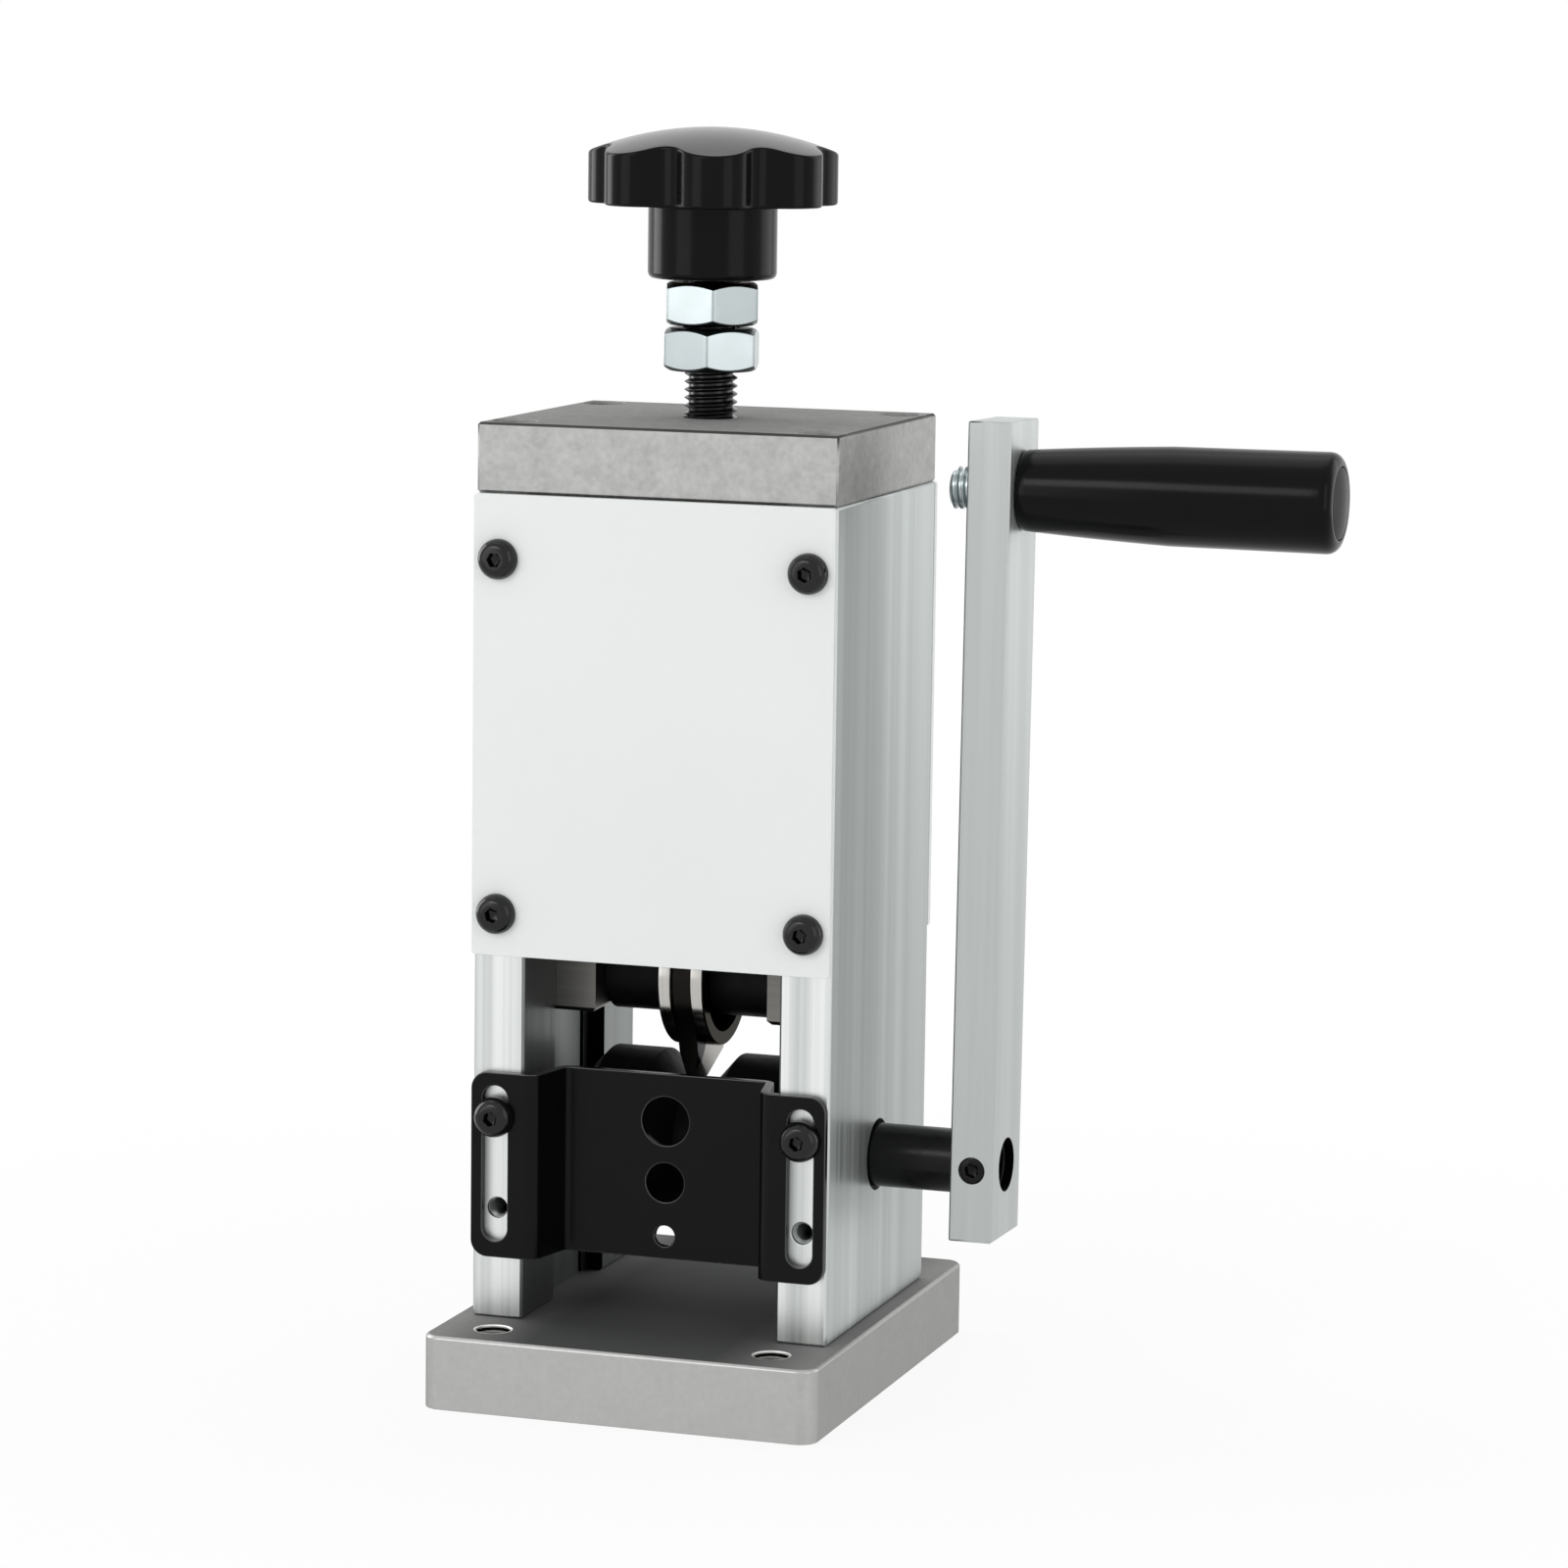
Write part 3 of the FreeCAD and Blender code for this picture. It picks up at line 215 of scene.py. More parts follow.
# the channel walls inside the plates are painted black as shade; the milled outer edges keep their own bright
# tone
milled_edges_and_painted_shade = add(tree, "Mix RGBA", {0: outermost, 6: "#131414", 7: milled})
flats = add(tree, "Mix RGBA", {0: plate, 6: arm, 7: drawn})
outer = add(tree, "Mix RGBA", {0: plate_edge, 6: flats, 7: milled_edges_and_painted_shade})
print("outside of", extruded_aluminium.name, "from", len(tree.nodes), "nodes")

# %% [markdown]
# ## Oily insides of the plates
# Inside, each plate has a channel between two lands, and these inner faces are painted darker as shade: the
# channel's walls black, its floor a dull grey, and the front land darker than the rear one. The arm's bore is
# painted black as shade as well. On a face that looks inwards, X and the surface's direction have opposite
# signs, so their product is negative, and its size is the distance from the middle: about 24 mm for a land
# and 29 mm for the floor.

# %% Extruded aluminium: channels and bore
SHAFT_HEIGHT = 44.5
BORE_R = 5.1
# painted shade on the inner faces: the front land darkest, the channel floor a dull grey
at_front = add(tree, "Math LESS_THAN", {0: at["Y"], 1: 0.0})
lands_painted_shade = add(tree, "Mix RGBA", {0: at_front, 6: land_painted_shade, 7: "#656867"})
inward = add(tree, "Math MULTIPLY", {0: at["X"], 1: facing["X"]})
channel = add(tree, "MapRange", {"Value": inward, "From Min": -26.0, "From Max": -28.0})
inner_painted_shade = add(tree, "Mix RGBA", {0: channel, 6: lands_painted_shade, 7: "#777b7a"})
inside = add(tree, "MapRange", {"Value": inward, "From Min": -12.0, "From Max": -20.0})
plate_tone = add(tree, "Mix RGBA", {0: inside, 6: outer, 7: inner_painted_shade})
upright = add(tree, "VectorMath MULTIPLY", {0: mm, 1: (0.0, 1.0, 1.0)})
away = add(tree, "VectorMath DISTANCE", {0: upright, 1: (0.0, 0.0, SHAFT_HEIGHT)})
bored = add(tree, "Math LESS_THAN", {0: away, 1: BORE_R})
# the arm's bore is painted black as shade
tone = add(tree, "Mix RGBA", {0: bored, 6: plate_tone, 7: "#0b0b0b"})
rough = add(tree, "MapRange", {"Value": die_lines, "From Min": 0.3, "From Max": 0.7, "To Min": 0.36,
                               "To Max": 0.46})
relief = add(tree, "Bump", {"Height": die_lines, "Strength": 0.03, "Distance": 0.03 * MM})
complete(extruded_aluminium, {"Metallic": 1.0, "Anisotropic": 0.65, "Base Color": tone, "Roughness": rough,
                              "Normal": relief, "Tangent": sideways})

# %% [markdown]
# ## White stove enamel
# The covers are sheet metal with a satin white stove enamel. Such a coat has a slight orange peel,
# ripples about 1.5 mm across, and it is never quite even in tone.

# %% White stove enamel
white_enamel, tree, mm, _ = new_finish("white_stove_enamel")
drift = add(tree, "TexNoise", {"Vector": mm, "Scale": 1 / 40.0, "Detail": 1.0})
peel = add(tree, "TexNoise", {"Vector": mm, "Scale": 1 / 1.5, "Detail": 1.0})
tone = add(tree, "Mix RGBA", {0: drift, 6: "#eaedec", 7: "#f0f3f2"})
rough = add(tree, "MapRange", {"Value": peel, "To Min": 0.3, "To Max": 0.4})
relief = add(tree, "Bump", {"Height": peel, "Strength": 0.05, "Distance": 0.05 * MM})
complete(white_enamel, {"IOR": 1.5, "Base Color": tone, "Roughness": rough, "Normal": relief})

# %% [markdown]
# ## Black oxide on steel
# Screws, shaft, wheels and the threaded rod are steel turned black in a hot bath. The layer is a
# micrometre thick and soaks up oil, so it is very dark and a little uneven. The screws still shine.
# The wheels and sleeves were blasted first and stay dull, and the shaft is between the two. Their oil
# takes much of the mirror away, so their IOR is lower.

# %% Black oxide, shining, satin and dull
def black_oxide(name, ior, smoothest, roughest):
    finish, tree, mm, _ = new_finish(name)
    stain = add(tree, "TexNoise", {"Vector": mm, "Scale": 1 / 2.5, "Detail": 3.0})
    tone = add(tree, "Mix RGBA", {0: stain, 6: "#080808", 7: "#121213"})
    rough = add(tree, "MapRange", {"Value": stain, "From Min": 0.3, "From Max": 0.7, "To Min": smoothest,
                                   "To Max": roughest})
    grain = add(tree, "TexNoise", {"Vector": mm, "Scale": 1 / 0.3, "Detail": 1.0})
    relief = add(tree, "Bump", {"Height": grain, "Strength": 0.08, "Distance": 0.02 * MM})
    complete(finish, {"IOR": ior, "Base Color": tone, "Roughness": rough, "Normal": relief})
    return finish


shining_oxide = black_oxide("oiled_black_oxide_steel", 1.38, 0.14, 0.22)
satin_oxide = black_oxide("satin_black_oxide_steel", 1.26, 0.2, 0.28)
dull_oxide = black_oxide("dull_black_oxide_steel", 1.22, 0.5, 0.62)

# %% [markdown]
# ## Black powder coat
# The guide plate is bent steel sheet with a satin black powder coat. The powder melts to a smooth skin with a
# very fine pebble, drawn here at 0.5 mm. The rounds have a finish of their own, which reflects more and is
# paler: a painted highlight along the edges.

# %% Black powder coat, and its edges with a painted highlight
def powder(name, ior, darkest, palest):
    finish, tree, mm, _ = new_finish(name)
    pebble = add(tree, "TexNoise", {"Vector": mm, "Scale": 1 / 0.5, "Detail": 2.0})
    drift = add(tree, "TexNoise", {"Vector": mm, "Scale": 1 / 12.0, "Detail": 2.0})
    tone = add(tree, "Mix RGBA", {0: drift, 6: darkest, 7: palest})
    rough = add(tree, "MapRange", {"Value": pebble, "To Min": 0.2, "To Max": 0.28})
    relief = add(tree, "Bump", {"Height": pebble, "Strength": 0.06, "Distance": 0.02 * MM})
    complete(finish, {"IOR": ior, "Base Color": tone, "Roughness": rough, "Normal": relief})
    return finish


powder_coat = powder("black_powder_coat", 1.22, "#060607", "#0c0c0d")
# the paler tone of this edge finish is a painted highlight
edge_highlight_coat = powder("black_powder_coat_painted_edge_highlight", 1.55, "#2c2d2d", "#3c3d3d")

# %% [markdown]
# ## Bright zinc plating
# The nuts and the handle's stud are zinc plated. Fresh plating is a smooth bluish white with only faint
# clouds a few millimetres wide. Spanners have rubbed it off the corners of the nuts. Their turned chamfers
# and ends are painted dark, a painted reflection of the black parts beside them. A nut's corners are more
# than 9.6 mm from its axis, and a chamfer or end looks partly or fully up or down. The stud is far from that
# axis, so it stays bright.

# %% Bright zinc plating
NUT_REACH = 12.0        # round the nuts, well away from the stud
zinc, tree, mm, normal = new_finish("bright_zinc_plating")
blotch = add(tree, "TexNoise", {"Vector": mm, "Scale": 1 / 5.0, "Detail": 1.0})
fresh = add(tree, "Mix RGBA", {0: blotch, 6: "#b0b8ba", 7: "#b9c1c2"})
level = add(tree, "VectorMath MULTIPLY", {0: mm, 1: (1.0, 1.0, 0.0)})
away = add(tree, "VectorMath LENGTH", {0: level})
corner = add(tree, "MapRange", {"Value": away, "From Min": 9.58, "From Max": 9.68, "To Max": 0.25})
facing = add(tree, "SeparateXYZ", {"Vector": normal}).outputs
endwise = add(tree, "Math ABSOLUTE", {0: facing["Z"]})
# chamfers and ends are painted dark as a reflection of the black parts beside them; the corners' share is
# wear
chamfer = add(tree, "MapRange", {"Value": endwise, "From Min": 0.5, "From Max": 0.8, "To Max": 0.9})
wear_and_painted_reflection = add(tree, "Math MAXIMUM", {0: corner, 1: chamfer})
on_nut = add(tree, "Math LESS_THAN", {0: away, 1: NUT_REACH})
nut_wear_and_painted_reflection = add(tree, "Math MULTIPLY", {0: wear_and_painted_reflection, 1: on_nut})
tone = add(tree, "Mix RGBA", {0: nut_wear_and_painted_reflection, 6: fresh, 7: "#34393a"})
rough = add(tree, "MapRange", {"Value": blotch, "From Min": 0.3, "From Max": 0.7, "To Min": 0.26,
                               "To Max": 0.32})
complete(zinc, {"Metallic": 1.0, "Base Color": tone, "Roughness": rough})

# %% [markdown]
# ## Blackened and ground steel
# The clamping discs are blackened, and only their rims are ground bright. The distance from the axle, which
# lies along X at the height of the knife, tells the rim from the faces, and inside the face's ring the recess
# is painted near black as shade. The grinding wheel leaves fine rings, drawn here at 0.3 mm.

# %% Blackened and ground steel
KNIFE_HEIGHT = 77.5
RIM_R, FACE_R = 14.0, 11.5
ground_steel, tree, mm, _ = new_finish("ground_tool_steel")
centred = add(tree, "Mapping", {"Vector": mm, "Location": (0, 0, -KNIFE_HEIGHT), "Scale": (0, 1, 1)})
away = add(tree, "VectorMath LENGTH", {0: centred})
at = add(tree, "SeparateXYZ", {"Vector": mm}).outputs
rings = add(tree, "TexNoise", {"noise_dimensions": "1D", "W": at["X"], "Scale": 1 / 0.3, "Detail": 2.0})
bright = add(tree, "Mix RGBA", {0: rings, 6: "#a9a7a3", 7: "#cbc9c5"})
rim = add(tree, "MapRange", {"Value": away, "From Min": RIM_R - 0.1, "From Max": RIM_R})
face = add(tree, "MapRange", {"Value": away, "From Min": FACE_R - 0.1, "From Max": FACE_R + 0.1})
# the recess inside the face's ring is painted near black as shade
face_with_painted_recess_shade = add(tree, "Mix RGBA", {0: face, 6: "#030303", 7: "#656462"})
tone = add(tree, "Mix RGBA", {0: rim, 6: face_with_painted_recess_shade, 7: bright})
rough = add(tree, "MapRange", {"Value": rings, "To Min": 0.12, "To Max": 0.22})
complete(ground_steel, {"Metallic": 1.0, "Specular Tint": "#9a9a98", "Base Color": tone, "Roughness": rough})

# %% [markdown]
# ## Hardened knife steel
# The knife is dark, and the two flanks of its beak are bright behind a slanting line. The signed distance
# from that line, with a little noise for a ragged edge, times how far the surface looks sideways, gives the
# bright share.

# %% Hardened knife steel
FLANK_LINE, FLANK_SLANT = (0.0, -4.1, KNIFE_HEIGHT - 13.9), (0.0, 0.777, -0.629)
knife_steel, tree, mm, normal = new_finish("hardened_knife_steel")
ragged = add(tree, "TexNoise", {"Vector": mm, "Scale": 1 / 0.8, "Detail": 2.0})
from_line = add(tree, "VectorMath SUBTRACT", {0: mm, 1: FLANK_LINE})
behind = add(tree, "VectorMath DOT_PRODUCT", {0: from_line, 1: FLANK_SLANT})
shaky = add(tree, "Math ADD", {0: behind, 1: ragged})
past_flank_line = add(tree, "MapRange", {"Value": shaky, "From Min": 0.3, "From Max": 0.6})
facing = add(tree, "SeparateXYZ", {"Vector": normal}).outputs
sideways = add(tree, "Math ABSOLUTE", {0: facing["X"]})
flank = add(tree, "MapRange", {"Value": sideways, "From Min": 0.5, "From Max": 0.8})
share = add(tree, "Math MULTIPLY", {0: past_flank_line, 1: flank})
# dark in front of the slanting line, bright behind it on the flanks
tone = add(tree, "Mix RGBA", {0: share, 6: "#1e1d1c", 7: "#b0aea9"})
rough = add(tree, "MapRange", {"Value": ragged, "To Min": 0.3, "To Max": 0.42})
complete(knife_steel, {"Metallic": 1.0, "Base Color": tone, "Roughness": rough})

# %% [markdown]
# ## Milled steel
# The knife's carriage is a milled block that is left bare. The cutter leaves fine level lines, and
# the steel is a dull warm grey.

# %% Milled steel
milled_steel, tree, mm, _ = new_finish("milled_steel")
level = add(tree, "Mapping", {"Vector": mm, "Scale": (1 / 40, 1 / 40, 1 / 0.6)})
passes = add(tree, "TexNoise", {"Vector": level, "Scale": 1.0, "Detail": 2.0})
tone = add(tree, "Mix RGBA", {0: passes, 6: "#666562", 7: "#7c7a77"})
rough = add(tree, "MapRange", {"Value": passes, "To Min": 0.34, "To Max": 0.46})
relief = add(tree, "Bump", {"Height": passes, "Strength": 0.08, "Distance": 0.02 * MM})
complete(milled_steel, {"Metallic": 1.0, "Base Color": tone, "Roughness": rough, "Normal": relief})

# %% [markdown]
# ## Bronze and brass
# The bushes are sintered bronze whose open pores are full of old, dark oil. The knob's insert is
# turned brass that has gone dull. Both sit deep in the machine, so a little variation in tone and
# roughness is enough.

# %% Sintered bronze and dull brass
def inner_metal(name, grain, darkest, palest, smoothest, roughest):
    finish, tree, mm, _ = new_finish(name)
    marks = add(tree, "TexNoise", {"Vector": mm, "Scale": 1 / grain, "Detail": 2.0})
    tone = add(tree, "Mix RGBA", {0: marks, 6: darkest, 7: palest})
    rough = add(tree, "MapRange", {"Value": marks, "To Min": smoothest, "To Max": roughest})
    complete(finish, {"Metallic": 1.0, "Base Color": tone, "Roughness": rough})
    return finish


bronze = inner_metal("sintered_bronze", 0.4, "#231e18", "#3a3125", 0.35, 0.55)
brass = inner_metal("dull_turned_brass", 0.6, "#4f4226", "#6b5a34", 0.36, 0.5)

# %% [markdown]
# ## Phenolic plastic, polished, with a painted sheen, and dull
# Knob and handle are moulded from black phenolic plastic, which comes out of a polished mould with a high
# gloss. The skin is not perfectly flat: it sinks in slow waves some 6 mm long, and they bend the reflections
# slightly. A typical IOR of 1.5 would make the black as pale as the white room around it, so the IOR is
# lowered until the black is as deep as that of the real plastic. The plug in the handle's end is duller and
# darker still. The knob's crown keeps the typical IOR, and its paler grey is a painted sheen, the light that
# the up-facing dome catches.

# %% Phenolic plastic
def moulded(name, ior, darkest, palest, smoothest, roughest):
    finish, tree, mm, _ = new_finish(name)
    sink = add(tree, "TexNoise", {"Vector": mm, "Scale": 1 / 6.0, "Detail": 2.0})
    haze = add(tree, "TexNoise", {"Vector": mm, "Scale": 1 / 1.2, "Detail": 3.0})
    tone = add(tree, "Mix RGBA", {0: sink, 6: darkest, 7: palest})
    rough = add(tree, "MapRange", {"Value": haze, "To Min": smoothest, "To Max": roughest})
    relief = add(tree, "Bump", {"Height": sink, "Strength": 0.05, "Distance": 0.1 * MM})
    complete(finish, {"IOR": ior, "Base Color": tone, "Roughness": rough, "Normal": relief})
    return finish


phenolic = moulded("black_phenolic_plastic", 1.2, "#050505", "#090a0a", 0.15, 0.21)
# the crown's paler grey is a painted sheen
crown_sheen_phenolic = moulded("black_phenolic_painted_crown_sheen", 1.5, "#222323", "#2a2b2b", 0.16, 0.22)
dull_phenolic = moulded("dull_black_phenolic_plastic", 1.1, "#050505", "#090a0a", 0.2, 0.3)
finish_of = {
    "blasted_steel": blasted_steel, "extruded_aluminium": extruded_aluminium, "white_sheet": white_enamel,
    "black_oxide_steel": shining_oxide, "black_coated_sheet": powder_coat, "zinc_plated_steel": zinc,
    "ground_steel": ground_steel, "machined_steel": milled_steel, "bronze": bronze, "brass": brass,
    "black_plastic": phenolic,
}
print("finishes for", len(finish_of), "slots")

# %% [markdown]
# ## Softened edges
# No real plate has a perfectly sharp edge, and the thin bright line along an edge tells the eye that
# it is metal. A copy of each large CAD part is merged, its flat triangles are joined into whole
# faces, and its hard edges get a small round. Weighted normals keep the flat faces flat. The side
# plates' tapped holes are countersunk before that.

# %% Pieces that are shown in place of CAD parts
HARD_EDGE = math.radians(38)


def as_mesh(name, bm):
    mesh = bpy.data.meshes.new(name)
    bm.to_mesh(mesh)
    bm.free()
    return mesh


def new_piece(name, bm, node, finish=None):
    """Makes a bmesh an object with the finish of a CAD part, which moves with that part's body."""
    mesh = as_mesh(name, bm)
    mesh.materials.append(finish or finish_of[slot_of[node]])
    mesh.shade_smooth()
    mesh.set_sharp_from_angle(angle=HARD_EDGE)
    piece = bpy.data.objects.new(name, mesh)
    bpy.context.scene.collection.objects.link(piece)
    even = piece.modifiers.new("even_shading", "WEIGHTED_NORMAL")
    even.keep_sharp = True
    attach(piece, body_of[node])
    print(name, len(mesh.polygons), "faces")
    return piece


def stand_in(name, bm, node, finish=None):
    """A new piece that is shown in place of its CAD part."""
    piece = new_piece(name, bm, node, finish)
    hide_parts(node)
    return piece


def merge(bm, reach=0.001):
    """Joins corners that lie in one place."""
    bmesh.ops.remove_doubles(bm, verts=bm.verts[:], dist=reach * MM)


def bevel(bm, edges, width, segments):
    """Cuts edges back by a width, and returns the faces that this makes."""
    made = bmesh.ops.bevel(bm, geom=edges, offset=width * MM, offset_type="OFFSET", affect="EDGES",
                           segments=segments, profile=0.5, material=-1, clamp_overlap=True)
    return made["faces"]


print("edges over", round(math.degrees(HARD_EDGE)), "degrees count as hard")

# %% Softened copies of the larger CAD parts
SCREW_LINE, COLUMN_FACE, TAPPED_HEIGHT = 30, 30.2, 35.1
TAPPED_AT = {"left_side_plate": (-SCREW_LINE, -COLUMN_FACE, TAPPED_HEIGHT),
             "right_side_plate": (SCREW_LINE, -COLUMN_FACE, TAPPED_HEIGHT)}
RIM_REACH, COUNTERSINK = 2.2, 0.8
EDGE_ROUNDS = {
    "base_plate": 0.4, "top_block": 0.3, "right_side_plate": 0.2, "left_side_plate": 0.2, "front_cover": 0.2,
    "rear_cover": 0.2, "crank_arm": 0.25, "blade_carriage": 0.3, "right_feed_wheel": 0.3,
    "left_feed_wheel": 0.3, "right_knife_sleeve": 0.2, "left_knife_sleeve": 0.2,
    "right_knife_disc": 0.1, "left_knife_disc": 0.1,
}
OXIDE = dict.fromkeys(("right_feed_wheel", "left_feed_wheel", "right_knife_sleeve", "left_knife_sleeve",
                       "groove_ring"), dull_oxide)


def softened(node, radius, finish=None, edge_finish=None):
    """A CAD part with rounded edges, shown in its place. The rounds may have a finish of their own."""
    bm = bmesh.new()
    bm.from_mesh(cad_part[node].data)
    merge(bm)
    bmesh.ops.dissolve_limit(bm, angle_limit=math.radians(0.3), verts=bm.verts[:], edges=bm.edges[:])
    if node in TAPPED_AT:
        hole = Vector(TAPPED_AT[node])
        bevel(bm, [e for e in bm.edges if all((v.co / MM - hole).length < RIM_REACH for v in e.verts)],
              COUNTERSINK, 1)
    hard = [e for e in bm.edges if len(e.link_faces) == 2 and e.calc_face_angle(0) > HARD_EDGE]
    for face in bevel(bm, hard, radius, 2):
        face.material_index = 1 if edge_finish else 0
    piece = stand_in(node + "_softened", bm, node, finish)
    if edge_finish:
        piece.data.materials.append(edge_finish)


for node, radius in EDGE_ROUNDS.items():
    softened(node, radius, OXIDE.get(node))
softened("knife", 0.1, knife_steel)
softened("guide_plate", 0.45, powder_coat, edge_highlight_coat)

# %% [markdown]
# ## Socket screws
# The covers and the guide plate are held by button-head screws, the blocks by cylinder-head screws
# and the shaft's parts by headless ones. All have a hexagon socket. A screw starts as a hexagon. Its
# edges are extruded down for the socket and outwards, ring by ring, for the head and the shank.

# %% Loops that grow ring by ring
def grow(bm, loop, place):
    """Extrudes a loop of edges once and moves each new corner to where place puts it."""
    made = bmesh.ops.extrude_edge_only(bm, edges=loop)["geom"]
    corners = {item for item in made if isinstance(item, bmesh.types.BMVert)}
    for corner in corners:
        corner.co = place(corner.co)
    return [item for item in made if isinstance(item, bmesh.types.BMEdge) and set(item.verts) <= corners]


def ring(radius, height):
    """A place rule: every corner keeps its direction and moves to a circle at a height."""
    def place(p):
        flat = Vector((p.x, p.y, 0)).normalized() * radius * MM
        return Vector((flat.x, flat.y, height * MM))
    return place


def close(bm, loop):
    bmesh.ops.contextual_create(bm, geom=loop)


def outward(bm):
    bmesh.ops.recalc_face_normals(bm, faces=bm.faces[:])


def hexagon(bm, flats, height, cuts):
    """A hexagon of the given width across flats, each side cut into short edges."""
    bmesh.ops.create_circle(bm, cap_ends=False, segments=6, radius=flats / math.sqrt(3) * MM,
                            matrix=Matrix.Translation((0, 0, height * MM)))
    bmesh.ops.subdivide_edges(bm, edges=bm.edges[:], cuts=cuts)
    return bm.edges[:]


def copies(mesh, places):
    """A bmesh with a copy of a mesh at each place, its Z axis towards a direction."""
    bm = bmesh.new()
    for spot, direction, spin in places:
        first = len(bm.verts)
        bm.from_mesh(mesh)
        bm.verts.ensure_lookup_table()
        turn = Vector(direction).to_track_quat("Z", "Y").to_matrix().to_4x4()
        matrix = Matrix.Translation(Vector(spot) * MM) @ turn @ Matrix.Rotation(math.radians(spin), 4, "Z")
        bmesh.ops.transform(bm, matrix=matrix, verts=bm.verts[first:])
    return bm


print("screw tools ready")

# %% [markdown]
# ## Button heads and cylinder heads
# A button head is a low dome, a quarter of an ellipse here. A cylinder head is a plain drum that sinks
# into a recess. Each screw of a set is turned by another angle, because nobody lines sockets up.

# %% Screws in covers, guide plate and blocks
FRONT, BACK, UP, DOWN = (0, -1, 0), (0, 1, 0), (0, 0, 1), (0, 0, -1)
COVER_FACE, GUIDE_FACE, GUIDE_SCREW_HEIGHT = 31.7, 32.0, 52.7
BASE_SEAT, BASE_SCREWS_Y = 5.5, (-21, 21)
BLOCK_SEAT, BLOCK_SCREWS_Y = 176.7, (-24, 24)
SIDES = (-SCREW_LINE, SCREW_LINE)
COVER_SCREWS = [(x, z) for x in SIDES for z in (91.1, 157.2)]


def socket_screw(flats, depth, rings):
    """A mesh of a screw along +Z: its socket, then rings from the head's top to the shank's tip."""
    bm = bmesh.new()
    top = rings[0][1]
    mouth = hexagon(bm, flats, top, 5)
    floor = grow(bm, mouth, lambda p: Vector((p.x, p.y, (top - depth) * MM)))
    close(bm, grow(bm, floor, ring(flats * 0.12, top - depth - flats * 0.2)))
    loop = mouth
    for radius, height in rings:
        loop = grow(bm, loop, ring(radius, height))
    close(bm, loop)
    outward(bm)
    return as_mesh("screw", bm)


def cap_screw(length):
    return socket_screw(4.0, 2.6, [(3.75, 5.0), (4.1, 4.85), (4.25, 4.5), (4.25, 0), (2.5, 0),
                                   (2.5, 0.5 - length), (2.0, -length)])


def set_of_screws(node, screw, places, finish=None):
    stand_in(node + "_socketed", copies(screw, places), node, finish)


dome = [(2.1 + 1.7 * math.sin(a), 0.35 + 2.25 * math.cos(a))
        for a in map(math.radians, (0, 18, 36, 54, 72, 90))]
shank = [(3.8, 0.1), (3.7, 0), (2.0, 0), (2.0, -9.6), (1.6, -10)]
button = socket_screw(2.5, 2.3, [(1.7, 2.6)] + dome + shank)
set_of_screws("front_cover_screws", button,
              [((x, -COVER_FACE, z), FRONT, 13 + 17 * i) for i, (x, z) in enumerate(COVER_SCREWS)])
set_of_screws("rear_cover_screws", button,
              [((x, COVER_FACE, z), BACK, 5 + 23 * i) for i, (x, z) in enumerate(COVER_SCREWS)])
set_of_screws("guide_screws", button, [((x, -GUIDE_FACE, GUIDE_SCREW_HEIGHT), FRONT, 20 + x) for x in SIDES])
set_of_screws("top_block_screws", cap_screw(16),
              [((x, y, BLOCK_SEAT), UP, 11 + x + y) for x in SIDES for y in BLOCK_SCREWS_Y])
set_of_screws("base_screws", cap_screw(20.5),
              [((x, y, BASE_SEAT), DOWN, 7 + x + y) for x in SIDES for y in BASE_SCREWS_Y])

# %% [markdown]
# ## Headless screws and the crank's lean
# Headless screws hold the arm, the wheels and the knife's axle. The crank stands 1.4 degrees back from
# upright, as it was left after the last turn. Pieces of the crank are drawn upright and then turned
# about the drive shaft by one matrix.

# %% Headless screws in arm, wheels and carriage
WHEEL_SCREWS_X, WHEEL_SCREW_HEIGHT = (-13.5, 13.5), 30.48
AXLE_SCREWS_X, AXLE_SCREW_Y = (-22.7, 22.7), 11.0
ARM_SCREW = (56.05, -8.9, SHAFT_HEIGHT)
pivot = Vector((0, 0, SHAFT_HEIGHT * MM))
lean = Matrix.Rotation(math.radians(-1.4), 4, "X")
crank_lean = Matrix.Translation(pivot) @ lean @ Matrix.Translation(-pivot)


def on_crank(spot):
    return tuple(crank_lean @ (Vector(spot) * MM) / MM)


def towards(direction):
    return tuple(crank_lean.to_3x3() @ Vector(direction))


def headless(length):
    return socket_screw(2.5, 1.8, [(2.05, 0), (2.35, -0.12), (2.5, -0.4), (2.5, 0.5 - length),
                                   (2.0, -length)])


set_of_screws("crank_grub_screw", headless(3.9), [(on_crank(ARM_SCREW), towards(FRONT), 9)], satin_oxide)
set_of_screws("wheel_grub_screws", headless(8.0),
              [(on_crank((x, 0, WHEEL_SCREW_HEIGHT)), towards(DOWN), x) for x in WHEEL_SCREWS_X])
set_of_screws("axle_grub_screws", headless(6.0),
              [((x, AXLE_SCREW_Y, KNIFE_HEIGHT), BACK, x) for x in AXLE_SCREWS_X])

# %% [markdown]
# ## Hexagon nuts
# A nut is a slice of hexagon bar whose two ends are turned to a cone. Where the cone meets the six
# flats it leaves arcs, low at the corners and high in the middle of each flat. The rim's corners
# drop by their distance from the axis, which draws those arcs.

# %% Depth lock nut and knob lock nut
NUT_FLATS, NUT_HEIGHT, NUT_FACE_R, NUT_BORE_R, NUT_CHAMFER = 17.0, 8.0, 7.8, 5.04, 0.5


